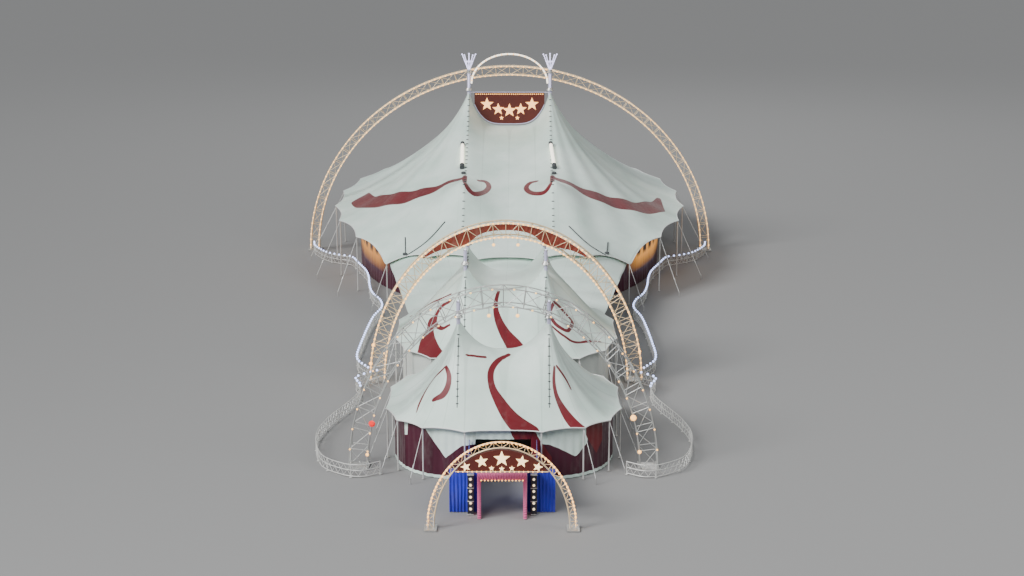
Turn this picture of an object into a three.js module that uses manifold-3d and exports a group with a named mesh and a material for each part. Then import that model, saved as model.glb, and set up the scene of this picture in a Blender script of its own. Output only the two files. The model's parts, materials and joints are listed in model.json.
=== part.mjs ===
import * as THREE from 'three';
import { mergeVertices } from 'three/addons/utils/BufferGeometryUtils.js';
import Module from 'manifold-3d';

const wasm = await Module();
wasm.setup();

// Every size below is a real one in metres, and the model is 1:10, so a metre is 100 mm.
// X runs to the right, Y from the entrance to the back, Z up. Y is 0 at the entrance arch.
const metre = 100;
const midLength = 63.346;
const gap = 0.003;
const cloth = 0.1;

// One dictionary for each tent. peakY holds the rows of masts, and the heights are those of the
// peaks, of the sag between two masts side by side, between two masts in line, and in the middle.
const mainTent = {
  halfWidth: 21, front: 57.6, back: 124.4, squareness: 2.1,
  peakX: 4.86, peakY: [90, 90], eave: 6.5, peak: 19.8, sagAcross: 15.6, sagAlong: 15.6, sagMiddle: 15.6,
  sagPower: 4, sidePower: 1.6, frontPower: 1.1,
  bumps: [[5.2, 70, 2.4, 2.6], [5.2, 110, 2.4, 2.6], [13.6, 64.5, -2.2, 4]],
  poles: 24, scallop: 0.03, mastRadius: 0.22, guyReach: 3.2, wallInset: 0.86,
};
const midTent = {
  halfWidth: 10.2, front: 26.2, back: 48.6, squareness: 2.6,
  peakX: 3.55, peakY: [32.4, 40.4], eave: 4.6, peak: 11.8, sagAcross: 9.4, sagAlong: 10.4, sagMiddle: 8.9,
  sagPower: 2.6, sidePower: 1.6, frontPower: 1.4,
  bumps: [],
  poles: 16, scallop: 0.03, mastRadius: 0.16, guyReach: 1.221, wallInset: 0.93,
};
const frontTent = {
  halfWidth: 9.5, front: 9, back: 26.6, squareness: 2.8,
  peakX: 3.55, peakY: [15, 15], eave: 4.2, peak: 11.6, sagAcross: 9.1, sagAlong: 9.1, sagMiddle: 9.1,
  sagPower: 2.6, sidePower: 1.6, frontPower: 1.25,
  bumps: [],
  poles: 16, scallop: 0.03, mastRadius: 0.16, guyReach: 1.482, wallInset: 0.93,
};

// Lattice arches: half width and rise of the middle line, depth of the box, sides of the polygon.
const mainArch = { y: 91.3, halfWidth: 24, rise: 22.1, depth: 1, segments: 14, chord: 0.08, brace: 0.04 };
const midArch = { y: 36.4, halfWidth: 11.8, rise: 14.2, depth: 1.3, segments: 10, chord: 0.08, brace: 0.04 };
const frontArch = { y: 12.9, halfWidth: 11.4, rise: 13.9, depth: 1.4, segments: 10, chord: 0.08, brace: 0.04 };

const footPlate = 1.7;

const finial = { foot: 22.2, top: 24.2, spread: 0.85, prongs: 5, prong: 0.07 };
const crownArch = { springing: 20.7, rise: 3.5, radius: 0.1, segments: 12 };
const mastSign = { top: 19.62, rail: 0.06, thickness: 0.24, half: 4.2, clearance: 0.2 };
const link = { frontHalf: 9.2, backHalf: 12.8, frontEdge: 4.36, backDrop: 0.3, tuck: 1, columns: 16, rows: 4 };
const mastSides = 10;
const rope = 0.04;
const rimInset = 0.1;
const ropeDrop = 0.06;
const guy = 0.028;
const pole = 0.07;
const stake = { half: 0.08, height: 0.5 };
const wallThickness = 0.06;
const barrier = { height: 1.1, post: 0.05, rail: 0.04, bay: 4.6 };

const entrance = {
  halfWidth: 5.1, rise: 6.3, depth: 0.45, chord: 0.07, segments: 12,
  signFoot: 4.3, signThickness: 0.3,
  portalHalf: 1.8, portalPost: 0.25, portalFront: 1.8, portalBack: 3.3, portalHeight: 3.5,
  doorHalf: 2.3, wingY: 3.15, wingEdge: 3.9, drapeX: 2.5, drape: 0.12, drapeHeight: 3.4,
  columnX: 2.3, columnSide: 0.5, columnHeight: 3.1, plateWidth: 0.9, plateDepth: 1.206,
};

// Plan corners of the barriers on the right side; the left side is their mirror image.
const frontLoop = [[13.5, 33.4], [12.9, 30.8], [13.2, 27.6], [14.8, 22], [15.3, 17.7], [14.4, 13], [12.6, 10.9], [11, 10.4]];
const sideLine = [[23.6, 88.2], [22, 84.9], [20.2, 83.2], [18.6, 82.2], [17.4, 78.7], [16.3, 75.2], [15.7, 71.9],
  [15.3, 68.2], [14.7, 64.8], [13.6, 61.6], [13.2, 58.5], [13.8, 54], [14.1, 45], [14, 39.5]];

// Half widths of the ways through the walls, at the front and the back of each tent.
const mainPassage = 12.2;
const midPassage = { front: 6.5, back: 9.3 };
const frontPassage = { front: entrance.doorHalf, back: 6 };

const white = new THREE.Color(0.82, 0.88, 0.84);
const materials = {
  membrane: new THREE.MeshStandardMaterial({ color: white, roughness: 0.55, metalness: 0 }),
  wall: new THREE.MeshStandardMaterial({ color: 0x5a1626, roughness: 0.7, metalness: 0 }),
  paleWall: new THREE.MeshStandardMaterial({ color: 0xb9bdb6, roughness: 0.7, metalness: 0 }),
  steel: new THREE.MeshStandardMaterial({ color: 0xcfc8ba, roughness: 0.45, metalness: 0.6 }),
  mast: new THREE.MeshStandardMaterial({ color: 0xd8d4ee, roughness: 0.5, metalness: 0.2 }),
  sign: new THREE.MeshStandardMaterial({ color: 0x3a120c, roughness: 0.5, metalness: 0 }),
  cream: new THREE.MeshStandardMaterial({ color: 0xf0dcb4, roughness: 0.5, metalness: 0 }),
  drape: new THREE.MeshStandardMaterial({ color: 0x2230b8, roughness: 0.8, metalness: 0 }),
  portal: new THREE.MeshStandardMaterial({ color: 0xd0608c, roughness: 0.7, metalness: 0 }),
  dark: new THREE.MeshStandardMaterial({ color: 0x18161e, roughness: 0.5, metalness: 0.1 }),
};

const model = new THREE.Group();

function addPiece(name, geometry, material) {
  const mesh = new THREE.Mesh(geometry, material);
  mesh.name = name;
  model.add(mesh);
}

// Solids: a closed geometry becomes one that can be joined and cut, and comes back.
function toSolid(geometry) {
  const bare = geometry.index ? geometry.toNonIndexed() : geometry.clone();
  bare.deleteAttribute('normal');
  bare.deleteAttribute('uv');
  const merged = mergeVertices(bare, 1e-5);
  const vertProperties = new Float32Array(merged.attributes.position.array);
  const triVerts = new Uint32Array(merged.index.array);
  return new wasm.Manifold(new wasm.Mesh({ numProp: 3, vertProperties, triVerts }));
}

function toGeometry(solid) {
  const mesh = solid.getMesh();
  const geometry = new THREE.BufferGeometry();
  geometry.setAttribute('position', new THREE.BufferAttribute(new Float32Array(mesh.vertProperties), 3));
  geometry.setIndex(new THREE.BufferAttribute(new Uint32Array(mesh.triVerts), 1));
  return geometry;
}

function fuse(geometries) {
  const solids = geometries.map(toSolid);
  return toGeometry(solids.reduce((whole, next) => whole.add(next)));
}

function point(x, y, z) {
  return new THREE.Vector3(x, y, z);
}

// A straight bar of few sides between two points.
function bar(from, to, radius, sides = 4) {
  const length = from.distanceTo(to);
  const geometry = new THREE.CylinderGeometry(radius, radius, length, sides);
  const turn = new THREE.Quaternion().setFromUnitVectors(point(0, 1, 0), to.clone().sub(from).normalize());
  geometry.applyQuaternion(turn);
  const middle = from.clone().add(to).multiplyScalar(0.5);
  geometry.translate(middle.x, middle.y, middle.z);
  return geometry;
}

function block(x, y, z, sizeX, sizeY, sizeZ) {
  const geometry = new THREE.BoxGeometry(sizeX, sizeY, sizeZ);
  geometry.translate(x, y, z + sizeZ / 2);
  return geometry;
}

// A bar carried along a list of points, square in section, with mitred corners.
function sweep(points, radius, across) {
  const rings = points.map((here, i) => {
    const before = points[Math.max(i - 1, 0)];
    const after = points[Math.min(i + 1, points.length - 1)];
    const ahead = after.clone().sub(before).normalize();
    const side = across.clone().cross(ahead).normalize().multiplyScalar(radius);
    const up = ahead.clone().cross(side).normalize().multiplyScalar(radius);
    return [side, up, side.clone().negate(), up.clone().negate()].map((step) => here.clone().add(step));
  });
  const corners = [];
  for (let i = 0; i + 1 < rings.length; i += 1) {
    for (let k = 0; k < 4; k += 1) {
      const next = (k + 1) % 4;
      corners.push(rings[i][k], rings[i][next], rings[i + 1][next]);
      corners.push(rings[i][k], rings[i + 1][next], rings[i + 1][k]);
    }
  }
  const first = rings[0];
  const last = rings[rings.length - 1];
  corners.push(first[0], first[2], first[1], first[0], first[3], first[2]);
  corners.push(last[0], last[1], last[2], last[0], last[2], last[3]);
  return new THREE.BufferGeometry().setFromPoints(corners);
}

// The plan outline of a tent is a rounded rectangle, here by its direction from the middle.
function middleOf(tent) {
  return (tent.front + tent.back) / 2;
}

function outlinePoint(tent, angle) {
  const power = 2 / tent.squareness;
  const c = Math.cos(angle);
  const s = Math.sin(angle);
  const half = (tent.back - tent.front) / 2;
  const x = tent.halfWidth * Math.sign(c) * Math.abs(c) ** power;
  const y = middleOf(tent) + half * Math.sign(s) * Math.abs(s) ** power;
  return point(x, y, 0);
}

function insideOutline(tent, x, y) {
  const half = (tent.back - tent.front) / 2;
  const u = Math.abs(x / tent.halfWidth) ** tent.squareness;
  const v = Math.abs((y - middleOf(tent)) / half) ** tent.squareness;
  return u + v < 1;
}

// How far the outline lies from a point under the crown, in one direction.
function reachToOutline(tent, x, y, stepX, stepY) {
  let near = 0;
  let far = 2 * (tent.back - tent.front);
  for (let i = 0; i < 40; i += 1) {
    const half = (near + far) / 2;
    if (insideOutline(tent, x + half * stepX, y + half * stepY)) near = half;
    else far = half;
  }
  return near;
}

function crownHeight(tent, x, y) {
  const [rowFront, rowBack] = tent.peakY;
  const across = (Math.abs(x) / tent.peakX) ** tent.sagPower;
  const along = rowBack > rowFront ? Math.abs((2 * (y - rowFront)) / (rowBack - rowFront) - 1) ** tent.sagPower : 1;
  const both = tent.peak - tent.sagAcross - tent.sagAlong + tent.sagMiddle;
  const height = tent.sagMiddle + (tent.sagAcross - tent.sagMiddle) * along
    + (tent.sagAlong - tent.sagMiddle) * across + both * across * along;
  return { height, sharp: across * along };
}

// The membrane falls from the crown to the eave: steeply off a mast, and rounded off a sag.
// A bump of a tent lifts it on a mirrored pair of places, or lowers it there.
function roofHeight(tent, x, y) {
  const crownX = THREE.MathUtils.clamp(x, -tent.peakX, tent.peakX);
  const crownY = THREE.MathUtils.clamp(y, tent.peakY[0], tent.peakY[1]);
  const crown = crownHeight(tent, crownX, crownY);
  const away = Math.hypot(x - crownX, y - crownY);
  let fall = 1;
  if (away > 1e-6) {
    const stepX = (x - crownX) / away;
    const stepY = (y - crownY) / away;
    const s = Math.min(1, away / reachToOutline(tent, crownX, crownY, stepX, stepY));
    const side = 0.75 * (1 - s) ** tent.sidePower + 0.25 * (1 - s) ** 8;
    const forward = 0.85 * (1 - s) ** tent.frontPower + 0.15 * (1 - s) ** 8;
    const steep = THREE.MathUtils.lerp(side, forward, stepY * stepY);
    const round = 0.5 * (1 - s) + 0.25 * (1 + Math.cos(Math.PI * s));
    fall = THREE.MathUtils.lerp(round, steep, crown.sharp);
  }
  let height = tent.eave + (crown.height - tent.eave) * fall;
  for (const [bumpX, bumpY, rise, spread] of tent.bumps) {
    const away = Math.hypot(Math.abs(x) - bumpX, y - bumpY) / spread;
    height += rise * Math.exp(-(away ** 1.3));
  }
  return height;
}

// The hem between two side poles is drawn in, so the outline is scalloped.
function hemPoint(tent, angle) {
  const bay = (angle / (2 * Math.PI)) * tent.poles + 0.5;
  const t = bay - Math.floor(bay);
  const smooth = outlinePoint(tent, angle);
  const draw = 1 - tent.scallop * 4 * t * (1 - t);
  return point(smooth.x * draw, middleOf(tent) + (smooth.y - middleOf(tent)) * draw, 0);
}

// An open surface of triangles, all seen from above, becomes a body from above it to below it.
function thicken(triangles, above = 0, below = cloth) {
  const keys = new Map();
  const places = [];
  const indexOf = (p) => {
    const key = `${p.x.toFixed(5)},${p.y.toFixed(5)}`;
    if (!keys.has(key)) {
      keys.set(key, places.length);
      places.push(p);
    }
    return keys.get(key);
  };
  const faces = [];
  for (const [a, b, c] of triangles) {
    const turn = (b.x - a.x) * (c.y - a.y) - (b.y - a.y) * (c.x - a.x);
    const face = (turn > 0 ? [a, b, c] : [a, c, b]).map(indexOf);
    if (new Set(face).size === 3 && Math.abs(turn) > 1e-8) faces.push(face);
  }
  const edges = new Set(faces.flatMap(([a, b, c]) => [`${a},${b}`, `${b},${c}`, `${c},${a}`]));
  const count = places.length;
  const index = [];
  for (const [a, b, c] of faces) {
    index.push(a, b, c, c + count, b + count, a + count);
    for (const [from, to] of [[a, b], [b, c], [c, a]]) {
      if (!edges.has(`${to},${from}`)) index.push(to, from, from + count, to, from + count, to + count);
    }
  }
  const high = places.map((p) => point(p.x, p.y, p.z + above));
  const low = places.map((p) => point(p.x, p.y, p.z - below));
  const geometry = new THREE.BufferGeometry().setFromPoints([...high, ...low]);
  geometry.setIndex(index);
  return geometry;
}

function gridTriangles(rows) {
  const triangles = [];
  for (let i = 0; i + 1 < rows.length; i += 1) {
    for (let j = 0; j + 1 < rows[i].length; j += 1) {
      const [a, b, c, d] = [rows[i][j], rows[i][j + 1], rows[i + 1][j + 1], rows[i + 1][j]];
      triangles.push([a, b, c], [a, c, d]);
    }
  }
  return triangles;
}

// Steps from the crown to the hem, closer together near the masts.
const fallSteps = [0, 0.08, 0.22, 0.42, 0.68, 1];

function roofRows(tent, crownPoints, hemPoints) {
  return fallSteps.map((s) => crownPoints.map((from, j) => {
    const x = THREE.MathUtils.lerp(from.x, hemPoints[j].x, s);
    const y = THREE.MathUtils.lerp(from.y, hemPoints[j].y, s);
    return point(x, y, roofHeight(tent, x, y));
  }));
}

function samples(from, to, count) {
  return Array.from({ length: count + 1 }, (_, i) => from + ((to - from) * i) / count);
}

// The angle at which the outline stands over a given X, on its front or its back.
function angleAtX(tent, x, front) {
  const c = Math.sign(x) * Math.abs(x / tent.halfWidth) ** (tent.squareness / 2);
  const angle = Math.acos(c);
  return front ? 2 * Math.PI - angle : angle;
}

function angleAtY(tent, y) {
  const half = (tent.back - tent.front) / 2;
  const v = (y - middleOf(tent)) / half;
  return Math.asin(Math.sign(v) * Math.abs(v) ** (tent.squareness / 2));
}

// Points of the hem straight ahead of a place on the crown, and straight to the side of it.
function hemAtX(tent, x, front) {
  return point(x, hemPoint(tent, angleAtX(tent, x, front)).y, 0);
}

function hemAtY(tent, y) {
  return point(hemPoint(tent, angleAtY(tent, y)).x, y, 0);
}

// Where a crown is divided from its middle outward, and from its front row of masts to its back row.
function acrossSteps(tent) {
  const poleX = hemPoint(tent, Math.PI / 2 - Math.PI / tent.poles).x;
  return [0, poleX / 2, poleX, tent.peakX];
}

function alongSteps(tent) {
  const poleY = hemPoint(tent, -Math.PI / tent.poles).y;
  return [tent.peakY[0], poleY, middleOf(tent), tent.peakY[1]];
}

// The angles of the side poles, and of the points midway between them, between two angles.
function bayAngles(tent, from, to) {
  const step = Math.PI / tent.poles;
  const margin = 0.2 * step;
  const first = Math.ceil((from + margin) / step);
  const last = Math.floor((to - margin) / step);
  return samples(first * step, last * step, last - first);
}

// Part of a roof that fans out from one peak, between two points of the hem.
function fanTriangles(tent, peakY, from, to) {
  const between = bayAngles(tent, from.angle, to.angle).map((angle) => hemPoint(tent, angle));
  const hem = [from.hem, ...between, to.hem];
  const start = hem.map(() => point(tent.peakX, peakY, 0));
  return gridTriangles(roofRows(tent, start, hem));
}

// Part of a roof that falls off the straight line between two peaks.
function apronTriangles(tent, crownPoints, hemPoints) {
  return gridTriangles(roofRows(tent, crownPoints, hemPoints));
}

function mastHoles(geometry, tent) {
  let solid = toSolid(geometry);
  for (const x of [-tent.peakX, tent.peakX]) {
    for (const y of new Set(tent.peakY)) {
      const hole = bar(point(x, y, 1), point(x, y, 30), tent.mastRadius + 1.1 * gap, mastSides);
      solid = solid.subtract(toSolid(hole));
    }
  }
  return toGeometry(solid);
}

// What stands under or over a roof is cut off at a distance from the membrane.
function cutByRoof(geometry, patches, above, below) {
  const cutters = patches.map((triangles) => toSolid(thicken(triangles, above, below)));
  const whole = cutters.reduce((roof, patch) => roof.add(patch));
  return toGeometry(toSolid(geometry).subtract(whole));
}

function cutUnderRoof(geometry, patches) {
  return cutByRoof(geometry, patches, 6, cloth + gap);
}

function cutOverRoof(geometry, patches, clearance) {
  return cutByRoof(geometry, patches, clearance, 8);
}

function mirrored(triangles) {
  return triangles.map((triangle) => triangle.map((p) => point(-p.x, p.y, p.z)));
}

function sideEnds(tent) {
  const angle = angleAtX(tent, tent.peakX, false);
  const ahead = { angle: -angle, hem: hemAtX(tent, tent.peakX, true) };
  const behind = { angle, hem: hemAtX(tent, tent.peakX, false) };
  return { ahead, behind };
}

// The strip between the two masts falls off both ways, with a seam along the ridge and at its sides.
function mainApron(tent, front, seam) {
  const ridge = tent.peakY[0] + (front ? -0.5 : 0.5) * seam;
  const right = acrossSteps(tent).slice(1);
  right[right.length - 1] -= seam;
  const xs = [...right.map((x) => -x).reverse(), 0, ...right];
  const start = xs.map((x) => point(x, ridge, 0));
  return apronTriangles(tent, start, xs.map((x) => hemAtX(tent, x, front)));
}

function addMainRoof(tent) {
  addPiece('main_roof_front', mastHoles(thicken(mainApron(tent, true, gap)), tent), materials.membrane);
  addPiece('main_roof_back', mastHoles(thicken(mainApron(tent, false, gap)), tent), materials.membrane);
  const { ahead, behind } = sideEnds(tent);
  const side = fanTriangles(tent, tent.peakY[0], ahead, behind);
  addPiece('main_roof_right', mastHoles(thicken(side), tent), materials.membrane);
  addPiece('main_roof_left', mastHoles(thicken(mirrored(side)), tent), materials.membrane);
  return [mainApron(tent, true, 0), mainApron(tent, false, 0), side, mirrored(side)];
}

// The right half of a smaller roof: crown, both aprons, the side and a fan at each mast.
function halfRoof(tent) {
  const [rowFront, rowBack] = tent.peakY;
  const xs = [gap / 2, ...acrossSteps(tent).slice(1)];
  const triangles = [];
  for (const front of [true, false]) {
    const row = front ? rowFront : rowBack;
    const start = xs.map((x) => point(x, row, 0));
    const hem = xs.map((x) => hemAtX(tent, x, front));
    triangles.push(...apronTriangles(tent, start, hem));
  }
  const { ahead, behind } = sideEnds(tent);
  if (rowBack > rowFront) {
    const ys = alongSteps(tent);
    const crown = ys.map((y) => xs.map((x) => point(x, y, roofHeight(tent, x, y))));
    triangles.push(...gridTriangles(crown));
    const hem = ys.map((y) => hemAtY(tent, y));
    triangles.push(...apronTriangles(tent, ys.map((y) => point(tent.peakX, y, 0)), hem));
    const backEnd = { angle: angleAtY(tent, rowBack), hem: hemAtY(tent, rowBack) };
    const frontEnd = { angle: angleAtY(tent, rowFront), hem: hemAtY(tent, rowFront) };
    triangles.push(...fanTriangles(tent, rowBack, backEnd, behind));
    triangles.push(...fanTriangles(tent, rowFront, ahead, frontEnd));
  } else {
    triangles.push(...fanTriangles(tent, rowFront, ahead, behind));
  }
  return triangles;
}

function addSmallRoof(tent, name) {
  const half = halfRoof(tent);
  addPiece(`${name}_roof_right`, mastHoles(thicken(half), tent), materials.membrane);
  addPiece(`${name}_roof_left`, mastHoles(thicken(mirrored(half)), tent), materials.membrane);
  return [half, mirrored(half)];
}

// Walls hang just inside the side poles, from under the roof down to the ground.
function wallPoint(tent, angle, inset) {
  const smooth = outlinePoint(tent, angle);
  const middle = middleOf(tent);
  return point(smooth.x * inset, middle + (smooth.y - middle) * inset, 0);
}

function wallGeometry(tent, patches, fromAngle, toAngle) {
  const angles = [fromAngle, ...bayAngles(tent, fromAngle, toAngle), toAngle];
  const thin = wallThickness / tent.halfWidth;
  const rings = angles.map((angle) => {
    const outer = wallPoint(tent, angle, tent.wallInset);
    const inner = wallPoint(tent, angle, tent.wallInset - thin);
    const top = roofHeight(tent, inner.x, inner.y) + 0.5;
    return [outer, point(outer.x, outer.y, top), point(inner.x, inner.y, top), inner];
  });
  return cutUnderRoof(closedStrip(rings), patches);
}

// A closed body through four-cornered sections, one after the other.
function closedStrip(rings) {
  const corners = [];
  for (let i = 0; i + 1 < rings.length; i += 1) {
    for (let k = 0; k < 4; k += 1) {
      const next = (k + 1) % 4;
      corners.push(rings[i][k], rings[i + 1][next], rings[i][next]);
      corners.push(rings[i][k], rings[i + 1][k], rings[i + 1][next]);
    }
  }
  const first = rings[0];
  const last = rings[rings.length - 1];
  corners.push(first[0], first[1], first[2], first[0], first[2], first[3]);
  corners.push(last[0], last[2], last[1], last[0], last[3], last[2]);
  return new THREE.BufferGeometry().setFromPoints(corners);
}

// The height of a roof as it is built, in flat triangles, over one place.
function builtHeight(patches, x, y) {
  const place = point(x, y, 0);
  for (const [a, b, c] of patches.flat()) {
    const share = new THREE.Vector3();
    const flat = new THREE.Triangle(a.clone().setZ(0), b.clone().setZ(0), c.clone().setZ(0));
    const found = flat.getBarycoord(place, share);
    if (found && Math.min(share.x, share.y, share.z) > -1e-6) return share.x * a.z + share.y * b.z + share.z * c.z;
  }
  throw new Error(`no roof over ${x}, ${y}`);
}

// Under the hem runs a rope over the side poles, and each pole has a guy down to its stake.
// Places on the rim are counted in half bays from the side of the tent, and poles stand at the odd ones.
function rimPlace(tent, halfBays) {
  const hem = hemPoint(tent, (halfBays * Math.PI) / tent.poles);
  const inward = point(hem.x, hem.y - middleOf(tent), 0).setLength(rimInset);
  return hem.sub(inward);
}

function stakePlace(tent, halfBays) {
  const foot = rimPlace(tent, halfBays);
  const away = point(foot.x, foot.y - middleOf(tent), 0).setLength(tent.guyReach);
  return foot.add(away);
}

// The poles reach the membrane and the rope hangs a little under it.
function rimGeometry(tent, patches, first, last, bare) {
  const halfBays = samples(first, last, last - first);
  const places = halfBays.map((place) => rimPlace(tent, place));
  if (last === tent.poles / 2) places[last - first].x = 0.015;
  const line = places.map((p) => p.clone().setZ(builtHeight(patches, p.x, p.y) - cloth - ropeDrop));
  const pieces = [sweep(line, rope, point(0, 0, 1))];
  halfBays.forEach((place, i) => {
    if (place % 2 === 0) return;
    const foot = places[i];
    pieces.push(cutUnderRoof(bar(foot, line[i].clone().add(point(0, 0, cloth)), pole, 4), patches));
    if (bare.includes(place)) return;
    const peg = stakePlace(tent, place);
    pieces.push(bar(line[i], peg.clone().setZ(stake.height * 0.8), guy, 4));
    pieces.push(block(peg.x, peg.y, 0, 2 * stake.half, 2 * stake.half, stake.height));
  });
  return fuse(pieces);
}

// Masts: a base plate, the pole, and a cap that covers the ring of the membrane.
function mastGeometry(tent, x, y) {
  const plate = block(x, y, 0, 0.9, 0.9, 0.08);
  const top = tent.peak + 0.55;
  const shaft = bar(point(x, y, 0.04), point(x, y, top), tent.mastRadius, mastSides);
  const capFoot = roofHeight(tent, x, y) + 0.03;
  const cap = new THREE.CylinderGeometry(tent.mastRadius + 0.02, tent.mastRadius + 0.2, 0.35, 10);
  cap.rotateX(Math.PI / 2);
  cap.translate(x, y, capFoot + 0.175);
  return [plate, shaft, cap];
}

function finialGeometry(x, y) {
  const parts = [bar(point(x, y, 10), point(x, y, finial.foot + 0.1), mainTent.mastRadius, mastSides)];
  for (let i = 0; i < finial.prongs; i += 1) {
    const angle = (i * 2 * Math.PI) / finial.prongs + Math.PI / 2;
    const tip = point(x + finial.spread * Math.cos(angle), y + finial.spread * Math.sin(angle), finial.top);
    parts.push(bar(point(x, y, finial.foot - 0.1), tip, finial.prong, 4));
  }
  return parts;
}

// Lattice arch: four chords on a half ellipse, tied by square frames, on two foot plates.
class HalfEllipse extends THREE.Curve {
  constructor(halfWidth, rise, y) {
    super();
    Object.assign(this, { halfWidth, rise, y });
  }

  getPoint(t, target = new THREE.Vector3()) {
    const angle = Math.PI * t;
    return target.set(-this.halfWidth * Math.cos(angle), this.y, this.rise * Math.sin(angle));
  }
}

function archChord(arch, outward, sideways) {
  const curve = new HalfEllipse(arch.halfWidth + outward, arch.rise + outward, arch.y + sideways);
  return curve.getSpacedPoints(arch.segments);
}

function archGeometry(arch) {
  const half = arch.depth / 2;
  const chords = [[-half, -half], [half, -half], [half, half], [-half, half]]
    .map(([outward, sideways]) => archChord(arch, outward, sideways));
  const pieces = chords.map((chord) => sweep(chord, arch.chord, point(0, 1, 0)));
  const between = chords.map((chord) => chord.slice(1).map((next, i) => next.clone().lerp(chord[i], 0.5)));
  for (let i = 1; i + 1 < arch.segments; i += 2) {
    for (let k = 0; k < 4; k += 1) {
      pieces.push(bar(between[k][i], between[(k + 1) % 4][i], arch.brace, 4));
    }
  }
  for (const x of [-arch.halfWidth, arch.halfWidth]) {
    pieces.push(block(x, arch.y, 0, footPlate, footPlate, 0.12));
  }
  const whole = toSolid(fuse(pieces));
  const ground = toSolid(block(0, arch.y, -2, 60, 4, 2));
  return toGeometry(whole.subtract(ground));
}

// A low lattice barrier along a path: two rails on posts.
function alongPath(corners, step) {
  const path = new THREE.CatmullRomCurve3(corners.map(([x, y]) => point(x, y, 0)), false, 'centripetal');
  const bays = Math.max(2, Math.round(path.getLength() / step));
  return path.getSpacedPoints(bays);
}

function barrierGeometry(corners) {
  const feet = alongPath(corners, barrier.bay);
  const pieces = [0.12, barrier.height - barrier.rail].map((z) => {
    const line = feet.map((p) => point(p.x, p.y, z));
    return sweep(line, barrier.rail, point(0, 0, 1));
  });
  for (const foot of feet) {
    pieces.push(block(foot.x, foot.y, 0, 2 * barrier.post, 2 * barrier.post, barrier.height));
  }
  return fuse(pieces);
}

function flipped(geometry) {
  const whole = geometry.clone();
  whole.scale(-1, 1, 1);
  const index = Array.from(whole.index.array);
  for (let i = 0; i < index.length; i += 3) [index[i], index[i + 1]] = [index[i + 1], index[i]];
  whole.setIndex(index);
  return whole;
}

function addPair(name, right, material) {
  addPiece(`${name}_right`, right, material);
  addPiece(`${name}_left`, flipped(right), material);
}

// A straight-sided panel seen from the front, given a thickness along Y.
function panel(outline, y, thickness) {
  const shape = new THREE.Shape(outline.map(([x, z]) => new THREE.Vector2(x, z)));
  const geometry = new THREE.ExtrudeGeometry(shape, { depth: thickness, bevelEnabled: false });
  geometry.rotateX(Math.PI / 2);
  geometry.translate(0, y + thickness, 0);
  return geometry;
}

function addMainTent() {
  const tent = mainTent;
  const y = tent.peakY[0];
  const patches = addMainRoof(tent);
  const passage = angleAtX(tent, mainPassage, true) - 2 * Math.PI;
  const rearAngle = Math.PI / 2 - 0.42;
  const side = wallGeometry(tent, patches, passage, rearAngle - 0.001);
  addPair('main_wall', side, materials.wall);
  const backWall = wallGeometry(tent, patches, rearAngle + 0.001, Math.PI - rearAngle - 0.001);
  addPiece('main_wall_back', backWall, materials.wall);
  const mast = fuse([...mastGeometry(tent, tent.peakX, y), ...finialGeometry(tent.peakX, y)]);
  addPair('main_mast', mast, materials.mast);
  addPair('main_rim', rimGeometry(tent, patches, -7, 12, []), materials.steel);
  addPiece('main_arch', archGeometry(mainArch), materials.cream);
  return patches;
}

function addSmallTent(tent, name, passage, [first, last], bare) {
  const patches = addSmallRoof(tent, name);
  const from = angleAtX(tent, passage.front, true) - 2 * Math.PI;
  const to = angleAtX(tent, passage.back, false);
  const side = wallGeometry(tent, patches, from, to);
  addPair(`${name}_wall`, side, name === 'mid' ? materials.paleWall : materials.wall);
  for (const y of new Set(tent.peakY)) {
    const row = tent.peakY[0] === tent.peakY[1] ? '' : (y === tent.peakY[0] ? '_front' : '_back');
    addPair(`${name}_mast${row}`, fuse(mastGeometry(tent, tent.peakX, y)), materials.mast);
  }
  addPair(`${name}_rim`, rimGeometry(tent, patches, first, last, bare), materials.steel);
  return patches;
}

// The covered way between the middle and the main tent: its ends are tucked under both hems.
function linkTriangles() {
  const rows = samples(0, 1, link.rows).map((t) => samples(-1, 1, link.columns).map((u) => {
    const x = u * THREE.MathUtils.lerp(link.frontHalf, link.backHalf, t);
    const front = hemAtX(midTent, u * link.frontHalf, false).y - link.tuck;
    const back = hemAtX(mainTent, u * link.backHalf, true);
    const backEdge = roofHeight(mainTent, back.x, back.y) - link.backDrop;
    const z = THREE.MathUtils.lerp(link.frontEdge, backEdge, t ** 1.2);
    return point(x, THREE.MathUtils.lerp(front, back.y + link.tuck, t), z);
  }));
  return gridTriangles(rows);
}

function linkWall(roofs, start, end) {
  const across = point(end.y - start.y, start.x - end.x, 0).setLength(wallThickness);
  const rings = samples(0.001, 0.999, 3).map((t) => {
    const outer = start.clone().lerp(end, t);
    const inner = outer.clone().sub(across);
    const tall = 8;
    return [outer, outer.clone().setZ(tall), inner.clone().setZ(tall), inner];
  });
  return cutUnderRoof(closedStrip(rings), roofs);
}

function addLink(mainPatches, midPatches) {
  const roof = linkTriangles();
  addPiece('link_canopy', cutUnderRoof(thicken(roof), mainPatches), materials.membrane);
  const start = hemAtX(midTent, link.frontHalf, false).add(point(-0.35, -0.1, 0));
  const end = wallPoint(mainTent, angleAtX(mainTent, mainPassage, true), mainTent.wallInset);
  const roofs = [roof, ...mainPatches, ...midPatches];
  addPair('link_wall', linkWall(roofs, start, end), materials.paleWall);
}

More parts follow.
